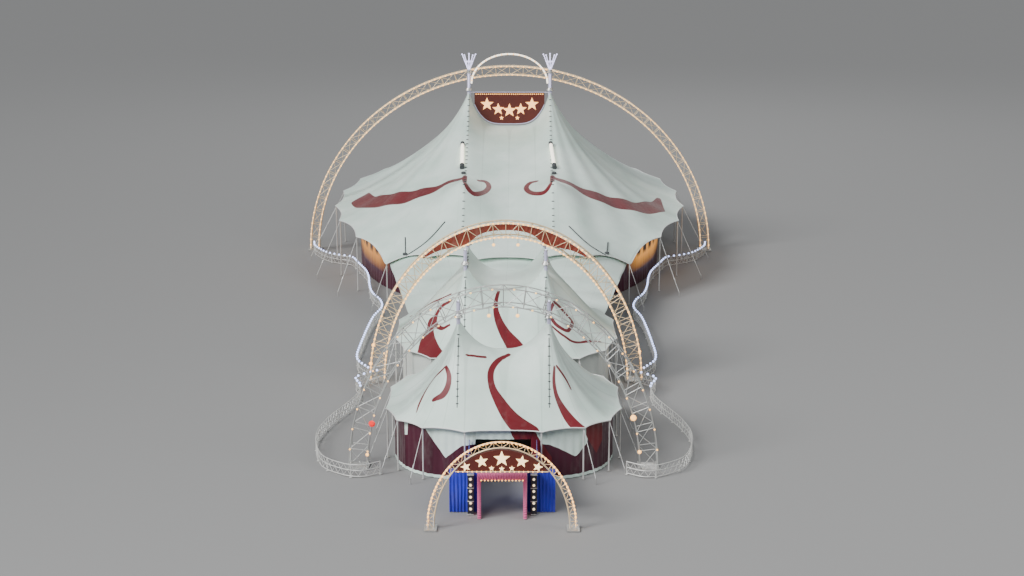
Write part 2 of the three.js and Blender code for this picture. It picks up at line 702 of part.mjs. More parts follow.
// Between the masts: a lit half-round arch above, and a sign board above the sag of the roof.
function addMastSign(mainPatches) {
  const y = mainTent.peakY[0];
  const reach = mainTent.peakX - mainTent.mastRadius * Math.cos(Math.PI / mastSides) - gap;
  const curve = new HalfEllipse(reach - crownArch.radius, crownArch.rise, y);
  const line = curve.getSpacedPoints(crownArch.segments).map((p) => p.add(point(0, 0, crownArch.springing)));
  addPiece('mast_arch', toGeometry(toSolid(sweep(line, crownArch.radius, point(0, 1, 0)))), materials.cream);
  const tall = mastSign.top - mainTent.sagAcross;
  const board = block(0, y, mainTent.sagAcross, 2 * mastSign.half, mastSign.thickness, tall);
  const clear = cutOverRoof(board, mainPatches, mastSign.clearance);
  const rail = bar(point(-reach, y, mastSign.top), point(reach, y, mastSign.top), mastSign.rail, 4);
  addPiece('mast_sign', fuse([clear, rail]), materials.sign);
}

// The entrance: a lit arch with its sign board, and behind it a portal, with drapes back to the door.
function entranceCurve(outward) {
  const curve = new HalfEllipse(entrance.halfWidth + outward, entrance.rise + outward, 0);
  return curve.getSpacedPoints(entrance.segments);
}

function addEntranceArch() {
  const half = entrance.depth / 2;
  const inner = entranceCurve(-half);
  const outer = entranceCurve(half);
  const pieces = [sweep(inner, entrance.chord, point(0, 1, 0)), sweep(outer, entrance.chord, point(0, 1, 0))];
  for (let i = 0; i < entrance.segments; i += 2) {
    const low = inner[i].clone().lerp(inner[i + 1], 0.5);
    const high = outer[i].clone().lerp(outer[i + 1], 0.5);
    pieces.push(bar(low, high, entrance.chord * 0.5, 4));
  }
  for (const x of [-entrance.halfWidth, entrance.halfWidth]) {
    pieces.push(block(x, 0, 0, entrance.plateWidth, entrance.plateDepth, 0.1));
  }
  const whole = toSolid(fuse(pieces)).subtract(toSolid(block(0, 0, -1, 14, 2, 1)));
  addPiece('entrance_arch', toGeometry(whole), materials.cream);
}

function addEntranceSign() {
  const rim = entranceCurve(-entrance.depth / 2 - entrance.chord - gap).map((p) => [p.x, p.z]);
  const board = toSolid(panel(rim, -entrance.signThickness / 2, entrance.signThickness));
  const below = toSolid(block(0, 0, -1, 14, 2, 1 + entrance.signFoot));
  addPiece('entrance_sign', toGeometry(board.subtract(below)), materials.sign);
}

function addPortal() {
  const { portalHalf, portalPost, portalFront, portalBack, portalHeight } = entrance;
  const depth = portalBack - portalFront;
  const y = (portalBack + portalFront) / 2;
  const whole = toSolid(block(0, y, 0, 2 * portalHalf, depth, portalHeight));
  const way = toSolid(block(0, y, -1, 2 * (portalHalf - portalPost), 3, 1 + portalHeight - 2 * portalPost));
  addPiece('entrance_portal', toGeometry(whole.subtract(way)), materials.portal);
}

// Where the front wall stands over a given X, on its straight stretch next to the door.
function doorWallY(x) {
  const from = angleAtX(frontTent, entrance.doorHalf, true) - 2 * Math.PI;
  const [next] = bayAngles(frontTent, from, 0);
  const start = wallPoint(frontTent, from, frontTent.wallInset);
  const end = wallPoint(frontTent, next, frontTent.wallInset);
  return THREE.MathUtils.lerp(start.y, end.y, (x - start.x) / (end.x - start.x));
}

function addDrapes() {
  const { portalHalf, wingY, wingEdge, drapeX, drape, drapeHeight } = entrance;
  const wingStart = portalHalf + gap;
  const wing = block((wingStart + wingEdge) / 2, wingY + drape / 2, 0, wingEdge - wingStart, drape, drapeHeight);
  const end = Math.min(doorWallY(drapeX), doorWallY(drapeX + drape)) - gap;
  const run = block(drapeX + drape / 2, (wingY + end) / 2, 0, drape, end - wingY, drapeHeight);
  addPair('entrance_drape', fuse([wing, run]), materials.drape);
}

function addColumns() {
  const { columnX, columnSide, columnHeight, wingY } = entrance;
  const y = wingY - gap - columnSide / 2;
  const column = toGeometry(toSolid(block(columnX, y, 0, columnSide, columnSide, columnHeight)));
  addPair('lamp_column', column, materials.dark);
}

// The barriers run from one arch foot to the next, and at the front to a stake of the front tent.
function addBarriers() {
  const besidePlate = (footPlate / 2) + gap + barrier.post;
  const frontStake = stakePlace(frontTent, -3);
  const loopStart = [midArch.halfWidth, midArch.y - besidePlate];
  const loopEnd = [frontStake.x + stake.half + barrier.post + gap, frontStake.y];
  addPair('front_barrier', barrierGeometry([loopStart, ...frontLoop, loopEnd]), materials.steel);
  const sideStart = [mainArch.halfWidth, mainArch.y - besidePlate];
  const sideEnd = [midArch.halfWidth + besidePlate, midArch.y];
  addPair('side_barrier', barrierGeometry([sideStart, ...sideLine, sideEnd]), materials.steel);
}

const mainPatches = addMainTent();
const midPatches = addSmallTent(midTent, 'mid', midPassage, [-5, 1], []);
addSmallTent(frontTent, 'front', frontPassage, [-7, 5], [-7]);
addPiece('mid_arch', archGeometry(midArch), materials.cream);
addPiece('front_arch', archGeometry(frontArch), materials.cream);
addLink(mainPatches, midPatches);
addMastSign(mainPatches);
addEntranceArch();
addEntranceSign();
addPortal();
addDrapes();
addColumns();
addBarriers();

model.scale.setScalar(metre);
model.position.y = -midLength * metre;

export default model;
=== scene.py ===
import json
import bpy
import bmesh
import numpy as np
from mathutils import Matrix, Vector

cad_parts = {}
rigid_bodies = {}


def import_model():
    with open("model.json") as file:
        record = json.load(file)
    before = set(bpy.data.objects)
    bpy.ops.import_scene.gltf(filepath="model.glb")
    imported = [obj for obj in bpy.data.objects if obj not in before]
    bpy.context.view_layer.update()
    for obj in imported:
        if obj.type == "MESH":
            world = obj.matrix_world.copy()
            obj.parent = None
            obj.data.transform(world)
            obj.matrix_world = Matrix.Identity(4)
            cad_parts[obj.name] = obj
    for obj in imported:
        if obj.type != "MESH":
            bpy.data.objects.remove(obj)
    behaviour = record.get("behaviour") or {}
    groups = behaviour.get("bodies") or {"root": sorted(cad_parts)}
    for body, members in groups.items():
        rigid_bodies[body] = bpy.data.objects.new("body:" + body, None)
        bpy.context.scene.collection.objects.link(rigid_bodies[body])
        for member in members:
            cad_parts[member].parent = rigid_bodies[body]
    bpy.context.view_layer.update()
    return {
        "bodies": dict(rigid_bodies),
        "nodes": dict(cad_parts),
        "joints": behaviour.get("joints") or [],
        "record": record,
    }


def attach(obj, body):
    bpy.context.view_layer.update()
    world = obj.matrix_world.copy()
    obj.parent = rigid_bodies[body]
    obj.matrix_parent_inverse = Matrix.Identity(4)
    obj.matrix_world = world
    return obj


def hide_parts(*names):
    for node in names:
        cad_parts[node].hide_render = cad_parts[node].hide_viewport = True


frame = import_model()
print("frame loaded:", len(frame["nodes"]), "nodes")

# All sizes below are real metres, X right, Y from the entrance to the back, Z up; the model is a tenth of them.
scale = 0.1
midLength = 63.346  # Y of the middle of the whole length
gap = 0.003  # between parts that stand beside each other
acrossY = (0, 1, 0)  # for tubes that stay in an upright plane
sides = (("right", 1), ("left", -1))


def toModel(points):
    # Real places become model places: the middle of the length goes to Y = 0, then everything shrinks.
    return (np.asarray(points, float) - (0, midLength, 0)) * scale


def placed(x, y, z):
    # Points from their coordinates, each an array or one value for all of them.
    return np.stack(np.broadcast_arrays(*(np.asarray(c, float) for c in (x, y, z))), -1)


def around(x, y, z, radius, turn):
    # Points of a level circle, at the given angles.
    return placed(x + radius * np.cos(turn), y + radius * np.sin(turn), z)


def pattern(x, y, z, across, along):
    # Places in rows and columns about (x, y), as for bolts.
    return np.array([(x + dx, y + dy, z) for dx in across for dy in along])


def runAlong(line):
    # How far each point of a line is from its start, along it.
    return np.concatenate([[0], np.cumsum(np.linalg.norm(np.diff(line, axis=0), axis=1))])


def longestColumn(grid):
    # The length of a grid of points from its first row to its last, where it is longest.
    return float(np.linalg.norm(np.diff(grid, axis=0), axis=-1).sum(0).max())


def circles(side, up, sides):
    # A unit circle of a few sides in the plane of each pair of directions.
    turn = np.arange(sides) * 2 * np.pi / sides
    return np.cos(turn)[None, :, None] * side[:, None] + np.sin(turn)[None, :, None] * up[:, None]


# A part is (points, quads, triangles, material index); points are real metres.
def loft(rings, mat=0):
    # Rings of equal count joined one to the next, with a fan to the middle at both ends.
    rings = np.asarray(rings, float)
    n, m = rings.shape[:2]
    r, c = np.meshgrid(np.arange(n - 1), np.arange(m), indexing="ij")
    a, b = r * m + c, r * m + (c + 1) % m
    quads = np.stack([a, b, b + m, a + m], -1).reshape(-1, 4)
    k = np.arange(m)
    first = np.stack([np.full(m, n * m), (k + 1) % m, k], -1)
    last = np.stack([np.full(m, n * m + 1), (n - 1) * m + k, (n - 1) * m + (k + 1) % m], -1)
    points = np.concatenate([rings.reshape(-1, 3), [rings[0].mean(0), rings[-1].mean(0)]])
    return points, quads, np.concatenate([first, last]), mat


def tube(path, radius, sides=10, mat=0, ref=(0, 0, 1)):
    # A circle carried along a path; its two directions come from the path's own direction and a fixed one.
    path = np.asarray(path, float)
    ahead = np.gradient(path, axis=0)
    ahead /= np.linalg.norm(ahead, axis=1)[:, None]
    side = np.cross(np.asarray(ref, float), ahead)
    size = np.linalg.norm(side, axis=1)[:, None]
    side = np.where(size > 1e-3, side / np.maximum(size, 1e-9), (1.0, 0, 0))
    return loft(path[:, None] + radius * circles(side, np.cross(ahead, side), sides), mat)


def lathe(profile, x, y, sides=16, mat=0):
    # A profile of (radius, height) turned about the upright line over (x, y).
    turn = np.arange(sides) * 2 * np.pi / sides
    return loft([around(x, y, height, radius, turn) for radius, height in profile], mat)


def slab(centre, size, mat=0):
    # A block by its centre and its three sizes.
    sx, sy, sz = np.asarray(size, float) / 2
    ring = np.array([[-sx, -sy, 0], [sx, -sy, 0], [sx, sy, 0], [-sx, sy, 0]])
    return loft(np.asarray(centre, float) + np.stack([ring + (0, 0, -sz), ring + (0, 0, sz)]), mat)


def bars(starts, ends, radius, sides=6, mat=0):
    # Many straight round bars at once: each is two rings across its own direction, with fans at the ends.
    starts, ends = np.asarray(starts, float), np.asarray(ends, float)
    ahead = (ends - starts) / np.linalg.norm(ends - starts, axis=1)[:, None]
    side = np.cross(np.where(np.abs(ahead[:, 2:]) < 0.9, (0.0, 0, 1), (1.0, 0, 0)), ahead)
    side /= np.linalg.norm(side, axis=1)[:, None]
    ring = radius * circles(side, np.cross(ahead, side), sides)
    starts, ends = starts[:, None], ends[:, None]
    points = np.concatenate([starts + ring, ends + ring, starts, ends], axis=1)
    base = (np.arange(len(starts)) * (2 * sides + 2))[:, None, None]
    k = np.arange(sides)
    j = (k + 1) % sides
    quads = (np.stack([k, j, j + sides, k + sides], -1)[None] + base).reshape(-1, 4)
    fan = np.concatenate([np.stack([np.full(sides, 2 * sides), j, k], -1),
                          np.stack([np.full(sides, 2 * sides + 1), k + sides, j + sides], -1)])
    return points.reshape(-1, 3), quads, (fan[None] + base).reshape(-1, 3), mat


def beads(centres, radius, mat=0, stretch=1.0):
    # Small round bulbs: latitude rings of six points between two poles, copied to every centre.
    centres = np.asarray(centres, float).reshape(-1, 3)
    tilt = np.array([0.25, 0.5, 0.75])[:, None] * np.pi
    turn = np.arange(6) * np.pi / 3
    ring = placed(np.sin(tilt) * np.cos(turn), np.sin(tilt) * np.sin(turn), np.cos(tilt) * stretch)
    ball = np.concatenate([ring.reshape(-1, 3), [[0, 0, stretch], [0, 0, -stretch]]]) * radius
    base = (np.arange(len(centres)) * len(ball))[:, None, None]
    k = np.arange(6)
    j = (k + 1) % 6
    quads = np.concatenate([np.stack([k, k + 6, j + 6, j], -1), np.stack([k + 6, k + 12, j + 12, j + 6], -1)])
    fan = np.concatenate([np.stack([np.full(6, 18), k, j], -1), np.stack([np.full(6, 19), j + 12, k + 12], -1)])
    points = (centres[:, None] + ball[None]).reshape(-1, 3)
    return points, (quads[None] + base).reshape(-1, 4), (fan[None] + base).reshape(-1, 3), mat


def shell(top, bottom, mat=0, wrap=False, rowEdges=(0, -1), columnEdges=(0, -1)):
    # Two grids of the same size, closed along the given edges; wrap joins the last column to the first.
    count = top.shape[0] * top.shape[1]
    index = np.arange(count).reshape(top.shape[:2])
    if wrap:
        index, columnEdges = np.concatenate([index, index[:, :1]], axis=1), ()
    face = np.stack([index[:-1, :-1], index[:-1, 1:], index[1:, 1:], index[1:, :-1]], -1).reshape(-1, 4)
    quads = [face, face[:, ::-1] + count]
    for line in [index[row] for row in rowEdges] + [index[:, column] for column in columnEdges]:
        edge = np.stack([line[:-1], line[1:]], -1)
        quads.append(np.concatenate([edge, edge[:, ::-1] + count], axis=1))
    points = np.concatenate([top.reshape(-1, 3), bottom.reshape(-1, 3)])
    return points, np.concatenate(quads), np.zeros((0, 3), int), mat


def twoSided(layers):
    # The values of each layer for the outer grid of a shell, and again for the inner one.
    return {key: np.concatenate([values.ravel(), values.ravel()]) for key, values in layers.items()}


def makePiece(name, parts, materials, replaces=(), weld=False, attributes=None, sharp=0.6, bevel=None):
    # Parts are put end to end into one mesh, which rides on the only body.
    points, faces, mats, start = [], [], [], 0
    for p, quads, tris, mat in parts:
        points.append(p)
        faces += (quads + start).tolist() + (tris + start).tolist()
        mats += [mat] * (len(quads) + len(tris))
        start += len(p)
    mesh = bpy.data.meshes.new(name)
    mesh.from_pydata(toModel(np.concatenate(points)).tolist(), [], faces)
    for material in materials:
        mesh.materials.append(material)
    mesh.polygons.foreach_set("material_index", mats)
    for key, values in (attributes or {}).items():
        layer = mesh.attributes.new(key, "FLOAT", "POINT")
        layer.data.foreach_set("value", np.asarray(values, np.float32))
    work = bmesh.new()
    work.from_mesh(mesh)
    if weld:
        bmesh.ops.remove_doubles(work, verts=work.verts, dist=2e-5)
    bmesh.ops.recalc_face_normals(work, faces=work.faces)
    work.to_mesh(mesh)
    work.free()
    mesh.polygons.foreach_set("use_smooth", np.ones(len(mesh.polygons), bool))
    mesh.set_sharp_from_angle(angle=sharp)
    piece = bpy.data.objects.new(name, mesh)
    bpy.context.scene.collection.objects.link(piece)
    if bevel:
        rounding = piece.modifiers.new("Bevel", "BEVEL")
        rounding.width = bevel * scale
        rounding.segments = 2
        rounding.limit_method = "ANGLE"
        rounding.angle_limit = 0.7
    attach(piece, "root")
    if replaces:
        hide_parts(*replaces)
    return piece


def declareCloth(piece, width, tall, held):
    # Half the mesh is one face of the cloth. Stretched cloth fills its cut at most, and other cloth has a cut
    # as wide as its area needs.
    area = sum(p.area for p in piece.data.polygons) / 2
    if held == "stretched":
        area = min(area, 0.999 * width * tall)
    else:
        width = max(width, area / tall * 1.001)
    print(f"{piece.name}: cut {width:.2f} by {tall:.2f} m, {area:.2f} m2")


def addNode(tree, kind, inputs=None, **settings):
    item = tree.nodes.new(kind)
    for key, value in settings.items():
        setattr(item, key, value)
    for key, value in (inputs or {}).items():
        if isinstance(value, bpy.types.NodeSocket):
            tree.links.new(value, item.inputs[key])
        else:
            item.inputs[key].default_value = value
    return item


def newMaterial(name, roughness=0.5, metallic=0.0, color=(0.8, 0.8, 0.8)):
    material = bpy.data.materials.new(name)
    material.use_nodes = True
    shader = material.node_tree.nodes["Principled BSDF"]
    shader.inputs["Base Color"].default_value = (*color, 1)
    shader.inputs["Roughness"].default_value = roughness
    shader.inputs["Metallic"].default_value = metallic
    return material, material.node_tree, shader


def mixColor(tree, factor, first, second, blend="MIX"):
    item = addNode(tree, "ShaderNodeMix", data_type="RGBA", blend_type=blend)
    for socket, value in ((item.inputs[0], factor), (item.inputs[6], first), (item.inputs[7], second)):
        if isinstance(value, bpy.types.NodeSocket):
            tree.links.new(value, socket)
        else:
            socket.default_value = value if isinstance(value, float) else (*value, 1)
    return item.outputs[2]


def mathOf(tree, operation, first, second):
    return addNode(tree, "ShaderNodeMath", {0: first, 1: second}, operation=operation).outputs[0]


def rangeOf(tree, value, low, high, newLow=0.0, newHigh=1.0):
    return addNode(tree, "ShaderNodeMapRange", {"Value": value, "From Min": low, "From Max": high,
                                                "To Min": newLow, "To Max": newHigh}).outputs[0]


def attributeOf(tree, key):
    return addNode(tree, "ShaderNodeAttribute", attribute_name=key).outputs["Fac"]


def noiseOf(tree, size, detail=3.0, rough=0.55, stretch=(1, 1, 1)):
    # Object coordinates, so a pattern stays where it is on the piece.
    place = addNode(tree, "ShaderNodeTexCoord").outputs["Object"]
    turned = addNode(tree, "ShaderNodeMapping", {"Vector": place, "Scale": stretch})
    return addNode(tree, "ShaderNodeTexNoise", {"Vector": turned.outputs[0], "Scale": size, "Detail": detail,
                                                "Roughness": rough}).outputs["Fac"]


def weaveOf(tree, pitch):
    # Two sets of fine ridges crossing each other stand for the scrim inside coated cloth.
    place = addNode(tree, "ShaderNodeTexCoord").outputs["Object"]
    inputs = {"Vector": place, "Scale": 0.32 / pitch, "Distortion": 0.4}
    ridges = [addNode(tree, "ShaderNodeTexWave", inputs, bands_direction=axis) for axis in ("X", "Y")]
    return mathOf(tree, "MULTIPLY", *(ridge.outputs["Fac"] for ridge in ridges))


def addBump(tree, shader, height, strength, distance):
    bump = addNode(tree, "ShaderNodeBump", {"Height": height, "Strength": strength, "Distance": distance})
    tree.links.new(bump.outputs[0], shader.inputs["Normal"])


# Each colour of cloth is a pair: its own tint and a darker copy of it that is painted shade, mottled into the
# tint at random.
clothColors = {
    "white": ((0.75, 0.88, 0.81), (0.55, 0.71, 0.63)),
    "crimson": ((0.165, 0.005, 0.012), (0.115, 0.004, 0.009)),
    "maroon": ((0.055, 0.0018, 0.016), (0.04, 0.0015, 0.011)),
    "pane": ((0.05, 0.02, 0.02), (0.03, 0.01, 0.01)),
    "pale": ((0.62, 0.66, 0.61), (0.48, 0.52, 0.48)),
    "slate": ((0.10, 0.11, 0.11), (0.07, 0.08, 0.08)),
    "brown": ((0.25, 0.045, 0.025), (0.17, 0.03, 0.018)),
    "blue": ((0.02, 0.03, 0.55), (0.008, 0.012, 0.28)),
    "pink": ((0.75, 0.16, 0.32), (0.55, 0.09, 0.24)),
}
clothLook = {"soil": (0.46, 0.53, 0.47), "seam": (0.72, 0.76, 0.74), "amber": (1.0, 0.42, 0.06), "edge": 0.0012}


def coatedCloth(name, base, layers=(), seams=False, weave=0.004, gloss=0.42, lit=0.0):
    # Coated cloth: a base mottled at random with painted shade, then each layer where its own attribute is over
    # 0, seams, soil and weave.
    material, tree, shader = newMaterial(name, gloss)
    # Large noise blotches mix each tint with its darker copy. This is a random mottle whose dark parts are
    # painted shade.
    shadeMottle = rangeOf(tree, noiseOf(tree, 2.2, 5), 0.35, 0.7)
    color = mixColor(tree, shadeMottle, *clothColors[base])
    for key, paint in layers:
        inside = rangeOf(tree, attributeOf(tree, key), -clothLook["edge"], clothLook["edge"])
        color = mixColor(tree, inside, color, mixColor(tree, shadeMottle, *clothColors[paint]))
    streaks = rangeOf(tree, noiseOf(tree, 9, 6, 0.65, (1, 1, 0.35)), 0.55, 0.85, 0.0, 0.35)
    color = mixColor(tree, streaks, color, mixColor(tree, 0.5, color, clothLook["soil"]))
    height = rangeOf(tree, weaveOf(tree, weave), 0.0, 1.0, 0.0, 0.25)
    if seams:
        lap = rangeOf(tree, attributeOf(tree, "seam"), 0.0015, 0.003, 1.0, 0.0)
        color = mixColor(tree, mathOf(tree, "MULTIPLY", lap, 0.5), color,
                         mixColor(tree, 1.0, color, clothLook["seam"], "MULTIPLY"))
        height = mathOf(tree, "ADD", height, lap)
    tree.links.new(color, shader.inputs["Base Color"])
    uneven = rangeOf(tree, noiseOf(tree, 30, 3), 0.3, 0.7, gloss - 0.06, gloss + 0.12)
    tree.links.new(uneven, shader.inputs["Roughness"])
    addBump(tree, shader, height, 0.35, 0.0006)
    shader.inputs["Sheen Weight"].default_value = 0.12
    if lit:
        shader.inputs["Emission Color"].default_value = (*clothLook["amber"], 1)
        strength = rangeOf(tree, attributeOf(tree, "lit"), 0.0, 1.0, 0.0, lit)
        tree.links.new(strength, shader.inputs["Emission Strength"])
    return material


def paintedMetal(name, base, worn, roughness=0.4, metallic=0.0, grain=60):
    # Paint or zinc: large soft cloudiness, small worn flecks, and a fine uneven surface.
    material, tree, shader = newMaterial(name, roughness, metallic)
    cloud = rangeOf(tree, noiseOf(tree, 6, 4), 0.35, 0.7)
    fleck = rangeOf(tree, noiseOf(tree, grain, 5, 0.7), 0.62, 0.72)
    color = mixColor(tree, fleck, mixColor(tree, cloud, base, tuple(0.82 * c for c in base)), worn)
    tree.links.new(color, shader.inputs["Base Color"])
    tree.links.new(rangeOf(tree, cloud, 0, 1, roughness - 0.08, roughness + 0.12), shader.inputs["Roughness"])
    addBump(tree, shader, noiseOf(tree, grain * 2, 3), 0.15, 0.0005)
    return material


def lamp(name, color, strength, spot=40, base=None):
    # A lit lens: it glows, with a slightly uneven glass over it.
    base = base or color
    material, tree, shader = newMaterial(name, 0.2, 0.0, base)
    tint = mixColor(tree, rangeOf(tree, noiseOf(tree, spot, 2), 0.3, 0.7), base, tuple(0.7 * c for c in base))
    tree.links.new(tint, shader.inputs["Base Color"])
    addBump(tree, shader, noiseOf(tree, spot * 3, 2), 0.1, 0.0004)
    shader.inputs["Coat Weight"].default_value = 0.4
    shader.inputs["Emission Color"].default_value = (*color, 1)
    shader.inputs["Emission Strength"].default_value = strength
    return material


membrane = coatedCloth("membraneCloth", "white", [("band", "crimson")], seams=True, weave=0.006)
frontWallCloth = coatedCloth("frontWallCloth", "maroon", [("valance", "white"), ("band", "crimson")])
mainWallCloth = coatedCloth("mainWallCloth", "maroon", [("valance", "white"), ("window", "pane")], lit=0.9)
paleWallCloth = coatedCloth("paleWallCloth", "pale", [("valance", "slate")])
hoodCloth = coatedCloth("hoodCloth", "brown")
blueCloth = coatedCloth("blueDrapeCloth", "blue", weave=0.003, gloss=0.6)
pinkCloth = coatedCloth("pinkPortalCloth", "pink", weave=0.003, gloss=0.55)
zinc = paintedMetal("zincSteel", (0.62, 0.62, 0.60), (0.36, 0.35, 0.33), 0.42, 0.75)
polePaint = paintedMetal("polePaint", (0.70, 0.70, 0.67), (0.42, 0.40, 0.36), 0.45, 0.3)
archPaint = paintedMetal("archPaint", (0.82, 0.64, 0.40), (0.50, 0.36, 0.20), 0.42, 0.15)
greyPaint = paintedMetal("greyPaint", (0.50, 0.51, 0.49), (0.34, 0.33, 0.30), 0.42, 0.4)
mastPaint = paintedMetal("mastPaint", (0.66, 0.64, 0.85), (0.45, 0.42, 0.55), 0.4, 0.2)
blackCase = paintedMetal("blackCase", (0.02, 0.018, 0.028), (0.08, 0.08, 0.09), 0.45)
boardPaint = paintedMetal("boardPaint", (0.10, 0.014, 0.008), (0.22, 0.05, 0.03), 0.5)
ropeFibre = paintedMetal("ropeFibre", (0.82, 0.84, 0.82), (0.6, 0.6, 0.58), 0.75, 0.0, 160)
darkStrap = paintedMetal("darkStrap", (0.06, 0.065, 0.07), (0.14, 0.14, 0.14), 0.7, 0.0, 160)
warmBulb = lamp("warmBulb", (1.0, 0.50, 0.14), 3.0)
coolBulb = lamp("coolBulb", (0.50, 0.60, 1.0), 3.0)
whiteTube = lamp("whiteTube", (1.0, 0.93, 0.78), 2.2)
lilacTube = lamp("lilacTube", (0.72, 0.70, 1.0), 1.6)
amberStar = lamp("amberStar", (1.0, 0.50, 0.18), 2.6)
creamStar = lamp("creamStar", (1.0, 0.74, 0.40), 2.4)
archGlow = lamp("archGlow", (1.0, 0.62, 0.28), 0.9, 60, (0.86, 0.66, 0.40))
redBall = lamp("redBall", (1.0, 0.02, 0.015), 0.8, 40, (0.9, 0.02, 0.02))
print("materials made")

# peakX and rows place the masts; the sags are heights of the crown between two masts and in its middle.
# Each bump (x, y, rise, spread) lifts the roof at a mirrored pair of places, or lowers it there.
tents = {
    "main": dict(halfWidth=21, front=57.6, back=124.4, squareness=2.1, peakX=4.86, rows=(90, 90), eave=6.5,
                 peak=19.8, sagAcross=15.6, sagAlong=15.6, sagMiddle=15.6, sagPower=4, sidePower=1.6,
                 frontPower=1.1, bumps=((5.2, 70, 2.4, 2.6), (5.2, 110, 2.4, 2.6), (13.6, 64.5, -2.2, 4)),
                 poles=24, mastRadius=0.22, guyReach=3.2, wallInset=0.86, flute=0.22),
    "mid": dict(halfWidth=10.2, front=26.2, back=48.6, squareness=2.6, peakX=3.55, rows=(32.4, 40.4), eave=4.6,
                peak=11.8, sagAcross=9.4, sagAlong=10.4, sagMiddle=8.9, sagPower=2.6, sidePower=1.6,
                frontPower=1.4, bumps=(), poles=16, mastRadius=0.16, guyReach=1.221, wallInset=0.93,
                flute=0.12),
    "front": dict(halfWidth=9.5, front=9, back=26.6, squareness=2.8, peakX=3.55, rows=(15, 15), eave=4.2,
                  peak=11.6, sagAcross=9.1, sagAlong=9.1, sagMiddle=9.1, sagPower=2.6, sidePower=1.6,
                  frontPower=1.25, bumps=(), poles=16, mastRadius=0.16, guyReach=1.482, wallInset=0.93,
                  flute=0.12),
}
clothThickness = 0.03
scallop = 0.03  # share by which the hem is drawn in between two side poles
seamsPerBay = 2


def middleOf(tent):
    return (tent["front"] + tent["back"]) / 2


def hasTwoRows(tent):
    return tent["rows"][1] > tent["rows"][0]


def bayOf(tent, angle):
    # The way from one side pole to the next, from 0 to 1.
    return (angle / (2 * np.pi) * tent["poles"] + 0.5) % 1


def outlinePoint(tent, angle):
    # A superellipse: |x / half width| and |y / half length|, both to one power, add up to 1.
    power = 2 / tent["squareness"]
    c, s = np.cos(angle), np.sin(angle)
    x = tent["halfWidth"] * np.sign(c) * np.abs(c) ** power
    y = (tent["back"] - tent["front"]) / 2 * np.sign(s) * np.abs(s) ** power
    return x, middleOf(tent) + y


def insideOutline(tent, x, y):
    half, power = (tent["back"] - tent["front"]) / 2, tent["squareness"]
    return (np.abs(x / tent["halfWidth"]) ** power + np.abs((y - middleOf(tent)) / half) ** power) < 1


def angleAtX(tent, x, front):
    # Where the outline stands over a given X, on its front or its back.
    angle = np.arccos(np.sign(x) * np.abs(x / tent["halfWidth"]) ** (tent["squareness"] / 2))
    return -angle if front else angle


def hemPoint(tent, angle):
    # The outline, drawn in by a parabola between each two side poles.
    t = bayOf(tent, angle)
    x, y = outlinePoint(tent, angle)
    draw = 1 - scallop * 4 * t * (1 - t)
    return x * draw, middleOf(tent) + (y - middleOf(tent)) * draw


def wallPlace(tent, angle):
    # The outline, shrunk toward the middle of the tent.
    x, y = outlinePoint(tent, angle)
    return x * tent["wallInset"], middleOf(tent) + (y - middleOf(tent)) * tent["wallInset"]


def reachOf(tent, x, y, dx, dy):
    # Distance from a place to the outline in one direction, by halving.
    near, far = np.zeros_like(x), np.full_like(x, 2.0 * (tent["back"] - tent["front"]))
    for _ in range(40):
        mid = (near + far) / 2
        inside = insideOutline(tent, x + mid * dx, y + mid * dy)
        near, far = np.where(inside, mid, near), np.where(inside, far, mid)
    return near


def roofHeight(tent, x, y):
    # The height of the crown at its nearest place, then a fall to the eave: steep off a mast, round off a sag.
    x, y = np.broadcast_arrays(np.asarray(x, float), np.asarray(y, float))
    r0, r1 = tent["rows"]
    cx, cy = np.clip(x, -tent["peakX"], tent["peakX"]), np.clip(y, r0, r1)
    across = (np.abs(cx) / tent["peakX"]) ** tent["sagPower"]
    along = np.abs(2 * (cy - r0) / (r1 - r0) - 1) ** tent["sagPower"] if hasTwoRows(tent) else np.ones_like(cx)
    crown = (tent["sagMiddle"] + (tent["sagAcross"] - tent["sagMiddle"]) * along
             + (tent["sagAlong"] - tent["sagMiddle"]) * across
             + (tent["peak"] - tent["sagAcross"] - tent["sagAlong"] + tent["sagMiddle"]) * across * along)
    away = np.hypot(x - cx, y - cy)
    safe = np.maximum(away, 1e-9)
    dx, dy = (x - cx) / safe, (y - cy) / safe
    s = np.where(away < 1e-6, 0, np.minimum(1, away / reachOf(tent, cx, cy, dx, dy)))
    side = 0.75 * (1 - s) ** tent["sidePower"] + 0.25 * (1 - s) ** 8
    ahead = 0.85 * (1 - s) ** tent["frontPower"] + 0.15 * (1 - s) ** 8
    steep = side + (ahead - side) * dy * dy
    rounded = 0.5 * (1 - s) + 0.25 * (1 + np.cos(np.pi * s))
    fall = np.where(away < 1e-6, 1, rounded + (steep - rounded) * across * along)
    z = tent["eave"] + (crown - tent["eave"]) * fall
    for bumpX, bumpY, rise, spread in tent["bumps"]:
        z = z + rise * np.exp(-((np.hypot(np.abs(x) - bumpX, y - bumpY) / spread) ** 1.3))
    return z


def dipOf(tent, angle, s):
    # Between two poles the cloth dips, most at about three quarters of the way from the crown to the hem.
    swell = s ** 1.2 * np.sqrt(np.maximum(0, 1.04 - s)) * 2.2
    return tent["flute"] * np.sin(np.pi * bayOf(tent, angle)) ** 2 * swell


def onRoof(tent, x, y, lift=0.0):
    return placed(x, y, roofHeight(tent, x, y) + lift)


